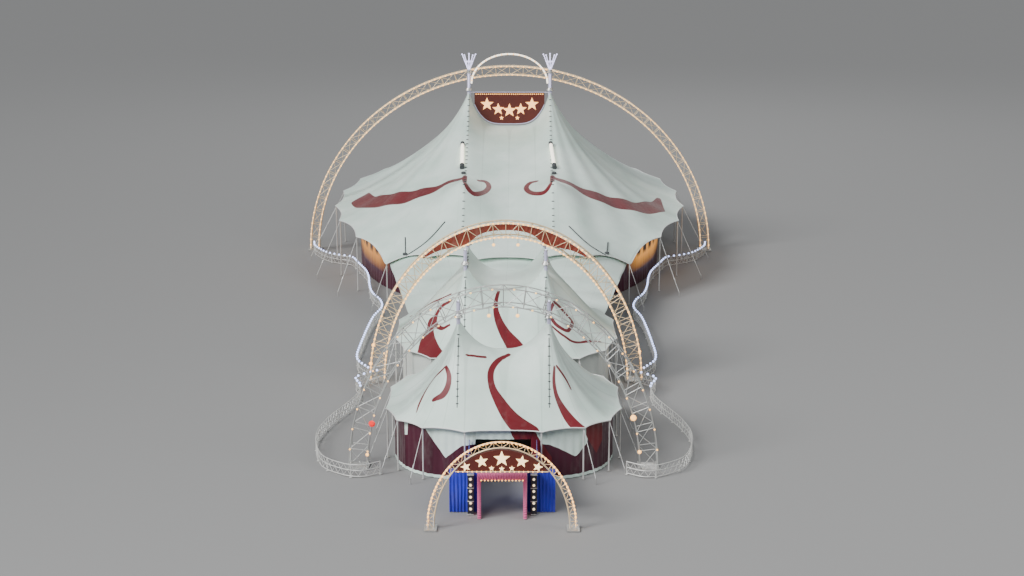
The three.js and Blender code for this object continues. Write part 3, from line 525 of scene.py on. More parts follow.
def clothHeight(name, x, y):
    # The membrane as made: the roof less its dip, found from the hem place that its column ends on.
    tent = tents[name]
    peakX = tent["peakX"]
    x, y = np.broadcast_arrays(np.abs(np.asarray(x, float)), np.asarray(y, float))
    cx, cy = np.minimum(x, peakX), np.clip(y, *tent["rows"])
    angles = np.linspace(-np.pi / 2, np.pi / 2, 6001)
    hx, hy = hemPoint(tent, angles)
    angle = np.zeros_like(x)
    for row, end in zip(tent["rows"], (-1, 1)):
        half = angles * end >= 0
        order = np.argsort(hx[half])
        straight = np.interp(x, hx[half][order], angles[half][order])
        turn = np.arctan2((hy - row) * end, hx - peakX)[half]
        order = np.argsort(turn)
        toward = np.arctan2((y - row) * end, np.maximum(x - peakX, 1e-9))
        fanned = np.interp(toward, turn[order], angles[half][order])
        angle = np.where((y - row) * end >= -1e-9, np.where(x <= peakX, straight, fanned), angle)
    between = (y > tent["rows"][0]) & (y < tent["rows"][1])
    angle = np.where(between, np.interp(y, hy, angles), angle)
    ex, ey = hemPoint(tent, angle)
    s = np.clip(np.hypot(x - cx, y - cy) / np.maximum(np.hypot(ex - cx, ey - cy), 1e-6), 0, 1)
    s = np.where(between & (x <= peakX), 0, s)
    return roofHeight(tent, x, y) - dipOf(tent, angle, s)


def onCloth(name, x, y, lift=0.0):
    return placed(x, y, clothHeight(name, x, y) + lift)


def smoothLine(corners, count=60):
    # A smooth curve through the given corners, by the usual four-point cubic.
    p = np.asarray(corners, float)
    p = np.concatenate([[2 * p[0] - p[1]], p, [2 * p[-1] - p[-2]]])
    t = np.linspace(0, len(p) - 3 - 1e-9, count)
    i, f = t.astype(int), (t % 1)[:, None]
    a, b, c, d = p[i], p[i + 1], p[i + 2], p[i + 3]
    return 0.5 * (2 * b + (c - a) * f + (2 * a - 5 * b + 4 * c - d) * f ** 2 + (3 * b - a - 3 * c + d) * f ** 3)


def insideBand(points, line, widths, cut=None):
    # Half the band's width less the distance to its middle line: over 0 inside the band. Model metres.
    # A cut (x, y, nx, ny) ends the band on a straight line in plan, through (x, y) and across (nx, ny).
    best = np.full(points.shape[:-1], -1e3)
    for i in range(len(line) - 1):
        a, b = line[i], line[i + 1]
        t = np.clip(((points - a) @ (b - a)) / ((b - a) @ (b - a)), 0, 1)
        away = np.linalg.norm(points - (a + t[..., None] * (b - a)), axis=-1)
        best = np.maximum(best, (widths[i] + (widths[i + 1] - widths[i]) * t) / 2 - away)
    if cut:
        x, y, nx, ny = cut
        best = np.minimum(best, (x - points[..., 0]) * nx + (y - points[..., 1]) * ny)
    return best * scale


# Painted bands, each a smooth line in plan by its corners (x, y, width), with a cut or None.
roofBands = {
    "main": [
        ([(-5.0, 74.5, 0.6), (-6.06, 73.9, 0.9), (-7.4, 73.6, 1.2), (-8.74, 73.77, 1.65),
          (-10.1, 74.26, 2.1), (-11.5, 75.1, 2.5), (-13.0, 76.5, 2.7), (-14.6, 78.6, 2.85),
          (-16.1, 80.9, 2.9), (-17.2, 84.0, 2.8), (-17.9, 87.4, 2.6),
          (-18.4, 90.5, 2.5)], (-18.15, 88.2, -0.917, 0.4)),
        ([(4.95, 74.6, 0.6), (5.6, 74.1, 0.85), (6.74, 73.35, 1.3), (8.1, 73.2, 1.65), (9.4, 73.3, 1.95),
          (10.5, 73.6, 2.1), (11.7, 74.1, 2.3), (13.2, 75.2, 2.4), (15.1, 76.9, 2.45),
          (16.75, 79.9, 2.5), (17.6, 82.0, 2.5), (18.3, 84.5, 2.5),
          (18.8, 87.0, 2.4)], (18.2, 83.0, 1, 0)),
        ([(-4.95, 74.8, 0.65), (-4.85, 71.4, 0.65), (-4.5, 69.8, 0.75), (-3.65, 69.6, 0.75),
          (-2.75, 71.2, 0.65), (-2.2, 73.3, 0.6), (-2.55, 74.5, 0.6), (-3.4, 74.4, 0.5)], None),
        ([(4.95, 74.8, 0.65), (4.75, 71.4, 0.65), (4.4, 69.9, 0.7), (3.7, 69.7, 0.7), (2.6, 71.2, 0.65),
          (1.95, 73.1, 0.6), (2.4, 74.3, 0.6), (3.15, 74.4, 0.5)], None),
    ],
    "mid": [
        ([(-0.5, 32.9, 0.25), (-0.85, 31.0, 0.4), (-0.64, 29.9, 0.65), (-0.05, 28.9, 0.95),
          (0.8, 27.9, 1.4), (1.6, 26.6, 1.9)], None),
        ([(-6.6, 32.6, 0.9), (-6.9, 30.6, 1.5), (-6.7, 28.6, 2.2), (-6.3, 27.0, 2.8)], None),
        ([(-4.7, 32.3, 0.35), (-5.6, 32.9, 0.4), (-6.2, 32.7, 0.4), (-6.2, 31.6, 0.45),
          (-5.6, 30.4, 0.4), (-4.9, 30.1, 0.25)], None),
        ([(4.3, 31.3, 0.3), (4.95, 31.6, 0.4), (5.9, 31.6, 0.4), (5.5, 30.1, 0.35), (4.5, 29.9, 0.35),
          (3.95, 30.4, 0.35), (4.25, 31.2, 0.3)], None),
        ([(3.9, 29.7, 0.2), (5.1, 29.4, 0.25), (6.3, 29.6, 0.3), (8.5, 32.0, 0.3)], None),
        ([(-9.0, 40.9, 0.3), (-7.6, 37.2, 0.3), (-6.2, 34.4, 0.3), (-4.9, 33.0, 0.3)], None),
    ],
    "front": [
        ([(0.45, 14.4, 0.3), (-0.42, 13.9, 0.45), (-0.97, 13.1, 0.5), (-0.88, 12.2, 0.55),
          (-0.27, 11.3, 0.85), (0.65, 10.2, 1.25), (1.9, 9.0, 1.8)], None),
        ([(3.98, 13.3, 0.2), (3.93, 12.5, 0.28), (4.1, 11.8, 0.36), (4.5, 11.2, 0.55),
          (5.15, 10.5, 0.85), (6.1, 9.7, 1.1)], None),
        ([(-4.5, 13.6, 0.3), (-4.25, 12.9, 0.4), (-4.35, 12.3, 0.5), (-4.75, 11.95, 0.55),
          (-5.4, 12.0, 0.4)], None),
        ([(-4.6, 13.7, 0.2), (-5.7, 13.9, 0.2), (-6.5, 12.8, 0.2), (-6.8, 11.9, 0.16)], None),
        ([(4.15, 13.4, 0.2), (4.9, 13.1, 0.22), (5.3, 12.7, 0.16)], None),
        ([(-2.9, 13.8, 0.2), (-1.4, 14.05, 0.22)], None),
    ],
}


def bandsOn(name, points):
    # The largest value of all of a tent's bands at each point of a grid.
    best = np.full(points.shape[:2], -1.0)
    for corners, cut in roofBands[name]:
        line = smoothLine(corners)
        onTop = onRoof(tents[name], line[:, 0], line[:, 1])
        best = np.maximum(best, insideBand(points, onTop, line[:, 2], cut))
    return best


# Columns in a bay near the front or back (within a distance of the middle line) and elsewhere, and rows.
roofGrid = {
    "main": dict(dense=44, plain=13, within=8.5, rows=84, bunch=1.3),
    "mid": dict(dense=30, plain=22, within=11, rows=44, bunch=1.2),
    "front": dict(dense=34, plain=20, within=11, rows=54, bunch=1.2),
}


def columnAngles(tent, grid):
    # More columns in the bays at the front and back, with one exactly at each corner under the crown.
    edges = (np.arange(tent["poles"] + 1) - 0.5) * 2 * np.pi / tent["poles"]
    angles = []
    for a, b in zip(edges[:-1], edges[1:]):
        near = abs(outlinePoint(tent, (a + b) / 2)[0]) < grid["within"]
        angles.append(np.linspace(a, b, (grid["dense"] if near else grid["plain"]) + 1)[:-1])
    fine = np.linspace(0, np.pi / 2, 200001)[1:-1]
    x, y = hemPoint(tent, fine)
    corners = [fine[np.argmin(np.abs(x - tent["peakX"]))]]
    extra = []
    if hasTwoRows(tent):
        corners.append(fine[np.argmin(np.abs(y - tent["rows"][1]))])
        fineDown = np.linspace(-np.pi / 2, 0, 200001)[1:-1]
        low = fineDown[np.argmin(np.abs(hemPoint(tent, fineDown)[1] - tent["rows"][0]))]
        extra = [low % (2 * np.pi), (np.pi - low) % (2 * np.pi)]
    for a in corners:
        extra += [a, np.pi - a, np.pi + a, 2 * np.pi - a]
    return np.unique(np.round(np.concatenate([np.concatenate(angles) % (2 * np.pi), extra]), 7))


def makeRoof(name):
    # Columns run from the crown to the hem, rows go round; a crown between two rows of masts is its own grid.
    tent, grid = tents[name], roofGrid[name]
    angles = columnAngles(tent, grid)
    hemX, hemY = hemPoint(tent, angles)
    crownX, crownY = np.clip(hemX, -tent["peakX"], tent["peakX"]), np.clip(hemY, *tent["rows"])
    s = (np.linspace(0, 1, grid["rows"]) ** grid["bunch"])[:, None]
    x, y = crownX + (hemX - crownX) * s, crownY + (hemY - crownY) * s
    top = placed(x, y, roofHeight(tent, x, y) - dipOf(tent, angles, s))
    parts = [shell(top, top - (0, 0, clothThickness), wrap=True, rowEdges=(-1,))]
    toSeam = np.abs((bayOf(tent, angles) * seamsPerBay + 0.5) % 1 - 0.5) / seamsPerBay
    seam = toSeam * 2 * np.pi / tent["poles"] * np.hypot(hemX - crownX, hemY - crownY) * s * scale
    layers = [twoSided({"band": bandsOn(name, top), "seam": np.minimum(seam, 0.05)})]
    if hasTwoRows(tent):
        beside = np.abs(np.abs(crownX) - tent["peakX"]) < 1e-6
        gx, gy = np.meshgrid(np.unique(np.round(crownX, 6)), np.unique(np.round(crownY[beside], 6)))
        crown = onRoof(tent, gx, gy)
        parts.append(shell(crown, crown - (0, 0, clothThickness), rowEdges=(), columnEdges=()))
        seam = np.abs((gx / tent["peakX"] * 2 + 0.5) % 1 - 0.5) * tent["peakX"] / 2 * scale
        layers.append(twoSided({"band": bandsOn(name, crown), "seam": seam}))
    attributes = {key: np.concatenate([layer[key] for layer in layers]) for key in layers[0]}
    ends = ("front", "back", "left", "right") if name == "main" else ("left", "right")
    nodes = [f"{name}_roof_{end}" for end in ends]
    return makePiece(f"{name}_membrane", parts, [membrane], nodes, True, attributes, sharp=1.2)


def declareRoof(name):
    # The cut's size is the length over the roof through a mast, each way.
    tent = tents[name]
    xs = np.linspace(-tent["halfWidth"], tent["halfWidth"], 400)
    ys = np.linspace(tent["front"], tent["back"], 400)
    across = runAlong(onRoof(tent, xs, tent["rows"][0]))[-1] * scale
    along = runAlong(onRoof(tent, tent["peakX"] - 0.01, ys))[-1] * scale
    declareCloth(roofs[name], across, along, "stretched")


roofs = {name: makeRoof(name) for name in tents}
print("membranes made")

wallLook = {"thickness": 0.03, "column": 0.13, "rows": 16, "pleat": 0.035, "pitch": 0.62, "finePitch": 0.23,
            "belly": 0.10, "setBack": 0.03, "foot": 0.03, "clear": 0.09}
# Half widths of the ways through the walls, at the front and the back of each tent.
passages = {"main": (12.2, None), "mid": (6.5, 9.3), "front": (2.3, 6.0)}
backWallHalf = 0.42  # in radians, about the direction straight back
doorHeaderFoot = 3.42
# The lower edge of the front wall's pale top, as (x, height) from left to right.
frontTeeth = np.array([(-9.5, 2.8), (-8.3, 2.7), (-7.5, 2.9), (-7.4, 4.4), (-6.25, 4.4), (-6.1, 4.0),
                       (-4.45, 1.7), (-3.2, 2.8), (-1.0, 3.2), (1.0, 3.2), (3.5, 2.9), (4.3, 2.5),
                       (5.6, 1.7), (6.5, 2.6), (6.6, 3.2), (8.2, 3.2), (8.5, 2.9), (9.5, 2.8)])
frontStripes = {"runsTo": 12.5, "heights": [1.3, 3.7, 4.6], "places": [3.1, 1.64, 1.3], "half": 0.95,
                "secondX": 7.25, "secondHalf": 0.85}
mainWallLook = {"around": 25, "drop": 0.55, "scallop": 0.22, "scallopPitch": 1.6, "panePitch": 2.4,
                "paneHalf": 0.62, "paneHalfTall": 0.6, "paneHeight": 3.8, "litFront": (93, 9),
                "litSides": (13.2, 1.6), "litFoot": (1.6, 1.4)}


def wallGrid(x, y, top, bay):
    # A hanging cloth along a plan line: small upright pleats, wider at the foot, and a belly between two poles.
    look = wallLook
    line = np.stack([x, y], -1)
    ahead = np.gradient(line, axis=0)
    ahead /= np.linalg.norm(ahead, axis=1)[:, None]
    out = np.stack([ahead[:, 1], -ahead[:, 0]], -1)
    run = runAlong(line)
    t = np.linspace(0, 1, look["rows"])[:, None]
    wave = np.sin(2 * np.pi * run / look["pitch"] + 1.3 * np.sin(run * 0.9))
    wave = wave + 0.4 * np.sin(2 * np.pi * run / look["finePitch"])
    belly = look["belly"] * np.sin(np.pi * bay) ** 2 * np.sin(np.pi * t)
    shift = look["pleat"] * wave * (0.35 + 0.65 * (1 - t)) - belly - look["setBack"]
    place = line[None] + shift[..., None] * out[None]
    z = (look["foot"] + t * (top - look["foot"]))[..., None]
    return np.concatenate([place, z], -1), np.concatenate([place - look["thickness"] * out[None], z], -1)


def frontLayers(outer, top):
    # The pale top of the front wall ends in a few wide points; the roof's stripes run on down the wall.
    x, y, z = outer[..., 0], outer[..., 1], outer[..., 2]
    look, ahead = frontStripes, y < frontStripes["runsTo"]
    edge = np.where(ahead, np.interp(x, *frontTeeth.T), top - 0.25)
    firstX = np.interp(z, look["heights"], look["places"])
    first = look["half"] - np.abs(x - firstX) - 0.9 * np.maximum(0, 1.7 - z)
    second = look["secondHalf"] - np.abs(x - look["secondX"]) - 0.5 * np.maximum(0, 3.2 - z)
    return {"valance": np.maximum(z - edge, 0.27 - z) * scale,
            "band": np.where(ahead, np.maximum(first, second), -1) * scale}


def mainLayers(outer, top):
    # A pale valance with round scallops; the cloth glows from inside, more at the top, with dark panes.
    x, y, z = outer[..., 0], outer[..., 1], outer[..., 2]
    look = mainWallLook
    along = np.arctan2(y - middleOf(tents["main"]), x) * look["around"]
    edge = top - look["drop"] - look["scallop"] * np.abs(np.sin(np.pi * along / look["scallopPitch"]))
    halfPitch = look["panePitch"] / 2
    across = look["paneHalf"] - np.abs((along + halfPitch) % look["panePitch"] - halfPitch)
    pane = np.minimum(across, look["paneHalfTall"] - np.abs(z - look["paneHeight"]))
    # Each of these is where the light begins and over what distance it grows.
    (endY, fadeY), (startX, fadeX), (startZ, fadeZ) = look["litFront"], look["litSides"], look["litFoot"]
    front = np.clip((endY - y) / fadeY, 0, 1) * np.clip((np.abs(x) - startX) / fadeX, 0, 1)
    return {"valance": (z - edge) * scale, "window": np.where(front > 0.35, pane, -1) * scale,
            "lit": front * np.clip((z - startZ) / fadeZ, 0, 1) * (z < edge) * (pane < 0)}


def paleLayers(outer, top):
    # A dark strip along the foot of the wall.
    return {"valance": (0.5 - outer[..., 2]) * scale}


wallKinds = {
    "main": (mainWallCloth, "maroon_wall", mainLayers), "front": (frontWallCloth, "maroon_wall", frontLayers),
    "mid": (paleWallCloth, "pale_wall", paleLayers), "link": (paleWallCloth, "pale_wall", paleLayers),
}


def hangWall(name, word, side, x, y, top, bay):
    # The cut is as wide as the pleated cloth is long at its foot, and as tall as its tallest place.
    cloth, slot, layersOf = wallKinds[name]
    outer, inner = (grid * (side, 1, 1) for grid in wallGrid(x, y, top, bay))
    piece = makePiece(f"{name}_wall_cloth_{word}", [shell(outer, inner)], [cloth],
                      [f"{name}_wall_{word}"], attributes=twoSided(layersOf(outer, top)), sharp=1.2)
    declareCloth(piece, runAlong(outer[0])[-1] * scale, longestColumn(outer) * scale, "hung")


def tentWall(name, word, side, start, end):
    # A wall along the outline between two angles, with a corner at each pole and midway between two poles.
    tent = tents[name]
    step = np.pi / tent["poles"]
    bays = np.arange(np.ceil(start / step + 0.2), np.floor(end / step - 0.2) + 1) * step
    corners = np.array([start, *bays, end])
    line = np.stack(wallPlace(tent, corners), -1)
    run = runAlong(line)
    at = np.linspace(0, run[-1], int(run[-1] / wallLook["column"]))
    x, y, angle = (np.interp(at, run, values) for values in (line[:, 0], line[:, 1], corners))
    hangWall(name, word, side, x, y, clothHeight(name, x, y) - wallLook["clear"], bayOf(tent, angle))


def makeDoorHeader():
    # A short cloth over the front door, between the two walls, with the roof's stripe running on over it.
    tent, foot = tents["front"], doorHeaderFoot
    edgeX = passages["front"][0] - 0.02
    outlineX = np.linspace(-edgeX, edgeX, 90)
    x = outlineX * tent["wallInset"]
    y = wallPlace(tent, angleAtX(tent, np.maximum(np.abs(outlineX), 1e-3), True))[1]
    top = clothHeight("front", x, y) - wallLook["clear"]
    rows = np.linspace(0, 1, 12)[:, None]
    z = foot + (top - foot) * rows
    wave = 0.02 * np.sin(outlineX * 2 * np.pi / 0.7) * (1 - 0.6 * rows)
    outer = placed(x, y + wave, z)
    layers = {"valance": np.full_like(z, 1.0), "band": frontLayers(outer, top)["band"]}
    piece = makePiece("front_door_header", [shell(outer, outer + (0, 0.03, 0))], [frontWallCloth],
                      attributes=twoSided(layers), sharp=1.2)
    declareCloth(piece, runAlong(outer[0])[-1] * scale, (top - foot).max() * scale, "hung")


def makeWalls():
    rear = np.pi / 2 - backWallHalf
    for word, side in sides:
        start = angleAtX(tents["main"], passages["main"][0], True)
        tentWall("main", word, side, start, rear - 0.001)
        for name, mast in (("mid", "mid_mast_front"), ("front", "front_mast")):
            start, end = (angleAtX(tents[name], x, front) for x, front in zip(passages[name], (True, False)))
            tentWall(name, word, side, start, end)
    makeDoorHeader()
    tentWall("main", "back", 1, rear + 0.001, np.pi - rear - 0.001)


link = {"frontHalf": 9.2, "backHalf": 12.8, "frontEdge": 4.36, "backDrop": 0.3, "tuck": 1, "sag": 0.12,
        "bays": 4, "seams": 6, "wallStart": (0.35, 0.1), "wallClear": 0.12}


def hemYAt(name, x, front):
    return hemPoint(tents[name], angleAtX(tents[name], x, front))[1]


def linkEnds(u):
    # Where the canopy begins under the middle tent's hem, and ends under the main tent's.
    return (hemYAt("mid", u * link["frontHalf"], False) - link["tuck"],
            hemYAt("main", u * link["backHalf"], True) + link["tuck"])


def linkPlace(u, t):
    # u runs from side to side and t from the middle tent to the main tent.
    u, t = np.broadcast_arrays(np.asarray(u, float), np.asarray(t, float))
    front, back = linkEnds(u)
    edge = roofHeight(tents["main"], u * link["backHalf"], back - link["tuck"]) - link["backDrop"]
    x = u * (link["frontHalf"] + (link["backHalf"] - link["frontHalf"]) * t)
    z = link["frontEdge"] + (edge - link["frontEdge"]) * t ** 1.2
    sag = link["sag"] * np.sin(np.pi * ((t * link["bays"]) % 1)) ** 2
    return placed(x, front + (back - front) * t, z - sag)


def makeLinkCanopy():
    u, t = np.linspace(-1, 1, 121)[None], np.linspace(0, 1, 90)[:, None]
    top = linkPlace(u, t)
    meanHalf = (link["frontHalf"] + link["backHalf"]) / 2
    seam = np.abs((u * link["seams"] + 0.5) % 1 - 0.5) / link["seams"] * meanHalf * scale + 0 * t
    canopy = makePiece("link_membrane", [shell(top, top - (0, 0, clothThickness))], [membrane],
                       ["link_canopy"], attributes=twoSided({"band": 0 * seam - 1, "seam": seam}), sharp=1.2)
    declareCloth(canopy, 2 * link["backHalf"] * scale, longestColumn(top) * scale, "stretched")


def makeLinkWalls():
    # A straight line between the tents' walls; t is found by steps, and the cloth hangs from what is over it.
    aside, ahead = link["wallStart"]
    start = np.array([link["frontHalf"] - aside, hemYAt("mid", link["frontHalf"], False) - ahead])
    end = np.array(wallPlace(tents["main"], angleAtX(tents["main"], passages["main"][0], True)))
    way = np.linspace(0.002, 0.998, 180)
    x, y = (start + (end - start) * way[:, None]).T
    t = np.full(len(way), 0.5)
    for _ in range(30):
        u = x / (link["frontHalf"] + (link["backHalf"] - link["frontHalf"]) * t)
        front, back = linkEnds(u)
        t = np.clip((y - front) / (back - front), 0, 1)
    top = np.where(t < 1, linkPlace(u, t)[:, 2], np.inf)
    for name in ("main", "mid"):
        top = np.where(insideOutline(tents[name], x, y), np.minimum(top, clothHeight(name, x, y)), top)
    for word, side in sides:
        hangWall("link", word, side, x, y, top - link["wallClear"], (way * link["bays"]) % 1)


makeWalls()
makeLinkCanopy()
makeLinkWalls()
print("walls and link made")

rim = {"inset": 0.1, "drop": 0.09, "pole": 0.07, "rope": 0.04, "guy": 0.028, "piping": 0.045,
       "stakeHalf": 0.08, "stakeTop": 0.5, "guyEnd": 0.42}
# Half bays from the side of the tent: the first and the last end of the rope, and the poles that have no guy.
rimSpans = {"main": (-7, 12, ()), "mid": (-5, 1, ()), "front": (-7, 5, (-7,))}


def pushedOut(tent, place, distance):
    # A place moved straight away from the middle of the tent.
    x, y = place
    share = 1 + distance / np.hypot(x, y - middleOf(tent))
    return x * share, middleOf(tent) + (y - middleOf(tent)) * share


def rimPlace(tent, halfBays):
    return pushedOut(tent, hemPoint(tent, np.asarray(halfBays, float) * np.pi / tent["poles"]), -rim["inset"])


def stakePlace(tent, halfBays):
    return pushedOut(tent, rimPlace(tent, halfBays), tent["guyReach"])


def makeRimPoles(name, word, side):
    # Side poles with straps, the rope over them, and a lashed guy from each pole to its stake.
    tent, (first, last, bare) = tents[name], rimSpans[name]
    flip = np.array([side, 1, 1])
    ropeX, ropeY = rimPlace(tent, np.linspace(first, last, (last - first) * 14 + 1))
    rope = placed(ropeX, ropeY, clothHeight(name, ropeX, ropeY) - clothThickness - rim["drop"]) * flip
    poles = np.arange(first if first % 2 else first + 1, last + 1, 2)
    x, y = rimPlace(tent, poles)
    foot, top = placed(x, y, 0) * flip, placed(x, y, clothHeight(name, x, y) - clothThickness - 0.01) * flip
    held = np.array([pole not in bare for pole in poles])
    x, y = stakePlace(tent, poles[held])
    stakeFoot, guyEnd, stakeTop = (placed(x, y, z) * flip for z in (0.01, rim["guyEnd"], rim["stakeTop"]))
    guyTop = top[held] - (0, 0, rim["drop"])
    guy = guyEnd - guyTop
    lash = guyTop + guy * 0.72
    parts = [
        bars(foot, top, rim["pole"] * 0.85, 12, 0), bars(foot, foot + (0, 0, 0.05), 0.13, 12, 1),
        bars(top - (0, 0, 0.16), top - (0, 0, 0.1), rim["pole"] * 1.15, 12, 1),
        bars(foot + (0, 0, 0.55), foot + (0, 0, 0.62), rim["pole"] * 1.1, 12, 1),
        tube(rope, rim["rope"], 8, 2), bars(guyTop, guyEnd, rim["guy"] * 0.8, 8, 2),
        bars(lash, lash + guy / np.linalg.norm(guy, axis=1)[:, None] * 0.34, 0.055, 8, 1),
        bars(stakeFoot, stakeTop, 0.045, 8, 1), bars(stakeTop - (0, 0, 0.04), stakeTop, 0.075, 8, 1),
        beads(guyTop, 0.06, 1), beads(guyEnd, 0.06, 1),
    ]
    makePiece(f"{name}_rim_poles_{word}", parts, [polePaint, zinc, ropeFibre],
              [f"{name}_rim_{word}"])


def makeRims():
    for name, tent in tents.items():
        for word, side in sides:
            makeRimPoles(name, word, side)
        x, y = hemPoint(tent, np.linspace(0, 2 * np.pi, 24 * tent["poles"] + 1))
        hem = placed(x, y, clothHeight(name, x, y) - clothThickness / 2)
        makePiece(f"{name}_hem_piping", [tube(hem, rim["piping"], 8)], [ropeFibre])
    print("rims made")


# Stretches in Y of the seams beside the masts: where they have loops, and where they have a dark edge.
laces = {
    "mid": dict(loops=((32.0, 27.2), (32.9, 40.0), (40.9, 47.2)),
                edges=((31.9, 27.0), (33.0, 39.9), (41.0, 47.3)), pitch=0.42, half=0.11, radius=0.045),
    "front": dict(loops=((14.5, 11.0), (15.6, 25.2)), edges=((14.4, 10.9), (15.7, 25.4)),
                  pitch=0.42, half=0.1, radius=0.04),
    "main": dict(loops=((88.9, 60.5), (91.2, 121.5)), edges=(), pitch=0.8, half=0.13, radius=0.05),
}
# Dark tubes on the main roof, by corners in plan. On each side the first slants across the cloth as a painted
# shadow line and the second is a dark rod. Then the dark knots beside them.
darkRodsAndShadowLines = ([(-6.82, 66.13), (-8.59, 64.03), (-10.9, 63.0)], [(-11.2, 66.9), (-11.0, 64.2)],
         [(6.54, 65.41), (8.49, 63.28), (10.4, 62.6)], [(10.79, 65.9), (10.6, 63.9)])
knots = {"x": (-11.0, 10.55, -5.1, 5.1), "y": (63.6, 63.3, 75.6, 75.6), "radius": 0.3}
# Each light bar runs from one (x, y) to another.
lightBars = {"ends": ((-5.4, 81.7, -5.3, 76.6), (4.8, 81.6, 5.2, 76.6)), "lift": 0.24, "radius": 0.2}


def lacing(name):
    # Short dark loops across a seam, each a bar lying on the cloth, and the seam's edge as a thin tube.
    lace, parts = laces[name], []
    for x in (-tents[name]["peakX"], tents[name]["peakX"]):
        for start, end in lace["loops"]:
            y = np.arange(start, end, lace["pitch"] if end > start else -lace["pitch"])
            middle, half = onCloth(name, x, y, 0.02), (lace["half"], 0, 0)
            parts.append(bars(middle - half, middle + half, lace["radius"], 6))
        for start, end in lace["edges"]:
            parts.append(tube(onCloth(name, x, np.linspace(start, end, 60), 0.015), 0.028, 6))
    return parts


def makeLacing():
    for name in ("mid", "front"):
        makePiece(f"{name}_lacing", lacing(name), [darkStrap])
    parts = lacing("main")
    # The first and third of these lines are dark tubes laid as a painted shadow line; the second and fourth are
    # dark rods.
    for corners in darkRodsAndShadowLines:
        line = smoothLine(corners, 24)
        parts.append(tube(onCloth("main", line[:, 0], line[:, 1], 0.05), 0.06, 8))
    parts.append(beads(onCloth("main", knots["x"], knots["y"], 0.08), knots["radius"], stretch=0.6))
    makePiece("main_lacing", parts, [darkStrap])
    print("lacing made")


def makeLightBars():
    # Lit tubes along the roof with a dark cap at both ends, on two short stands.
    parts, sink = [], np.array([0, 0, 0.02])
    for x0, y0, x1, y1 in lightBars["ends"]:
        s = np.linspace(0, 1, 24)
        path = onCloth("main", x0 + (x1 - x0) * s, y0 + (y1 - y0) * s, lightBars["lift"])
        stands = path[[1, -2]]
        parts += [tube(path, lightBars["radius"], 12, 0), tube(path[:3] - sink, 0.24, 12, 1),
                  tube(path[-4:] - sink, 0.27, 12, 1), bars(stands - (0, 0, 0.2), stands, 0.05, 8, 1)]
    makePiece("main_light_bars", parts, [whiteTube, darkStrap])


# Heights above the ground on the main masts; the tip of a smaller mast is given above its peak.
mastLook = {"head": 22.1, "fingers": 24.2, "hoop": 23.3, "lineLight": (20.2, 21.8), "tip": 1.35,
            "firstBand": 2.2, "bandPitch": 2.4, "plate": (0.9, 0.9, 0.08), "bolt": 0.36}
# Radii beyond the mast's own, and heights above the lower edge, of the ring that holds the membrane.
collarProfile = ((0.01, 0), (0.18, 0), (0.2, 0.05), (0.1, 0.22), (0.05, 0.34), (0.01, 0.35))


def mastHead(x, y, r):
    # Five lit fingers that lean outward, tied by a hoop, and an upright light in front of the shaft.
    head, (low, high) = mastLook["head"], mastLook["lineLight"]
    tips = around(x, y, mastLook["fingers"], 0.85, np.arange(5) * 2 * np.pi / 5 + np.pi / 2)
    hoop = around(x, y, mastLook["hoop"], 0.5, np.linspace(0, 2 * np.pi, 41))
    socket = [(0.2, head - 0.2), (0.3, head - 0.1), (0.3, head + 0.1), (0.12, head + 0.3)]
    return [bars(np.tile([x, y, head], (5, 1)), tips, 0.06, 10, 2), beads(tips - (0, 0, 0.06), 0.1, 2),
            lathe(socket, x, y, 16, 1), tube(hoop, 0.04, 8, 2),
            bars([(x, y - r, low)], [(x, y - r, high)], 0.05, 8, 2)]


def makeMast(name, row, word, x, y):
    tent = tents[name]
    r, peak = tent["mastRadius"], tent["peak"]
    ring = peak + 0.03
    top = mastLook["head"] if name == "main" else peak + mastLook["tip"]
    shaft = [(0.14 + r, 0.08), (0.14 + r, 0.14), (r, 0.3)]
    for z in np.arange(mastLook["firstBand"], peak - 1.5, mastLook["bandPitch"]):
        shaft += [(r, z), (r + 0.03, z + 0.02), (r + 0.03, z + 0.12), (r, z + 0.14)]
    shaft += [(r, peak - 0.3), (r, top - 0.02), (r - 0.03, top)]
    collar = [(r + out, ring + up) for out, up in collarProfile]
    bolts = pattern(x, y, 0.08, (-mastLook["bolt"], mastLook["bolt"]), (-mastLook["bolt"], mastLook["bolt"]))
    eyes = around(x, y, ring + 0.12, r + 0.13, np.arange(10) * np.pi / 5)
    parts = [slab((x, y, 0.04), mastLook["plate"], 1), lathe(shaft, x, y, 20, 0), lathe(collar, x, y, 20, 1),
             bars(bolts, bolts + (0, 0, 0.07), 0.05, 6, 1), beads(eyes, 0.05, 1)]
    if name == "main":
        parts += mastHead(x, y, r)
    else:
        cap = [(r + 0.02, top - 0.05), (r + 0.03, top - 0.02), (r - 0.02, top)]
        parts += [lathe(cap, x, y, 20, 1), beads([(x, y, top)], 0.09, 2)]
    makePiece(f"{name}_mast_pole{row}_{word}", parts, [mastPaint, zinc, lilacTube],
              [f"{name}_mast{row}_{word}"])


def makeMasts():
    for name, tent in tents.items():
        rows = zip(tent["rows"], ("_front", "_back")) if hasTwoRows(tent) else [(tent["rows"][0], "")]
        for y, row in rows:
            for word, side in sides:
                makeMast(name, row, word, tent["peakX"] * side, y)
    print("masts made")


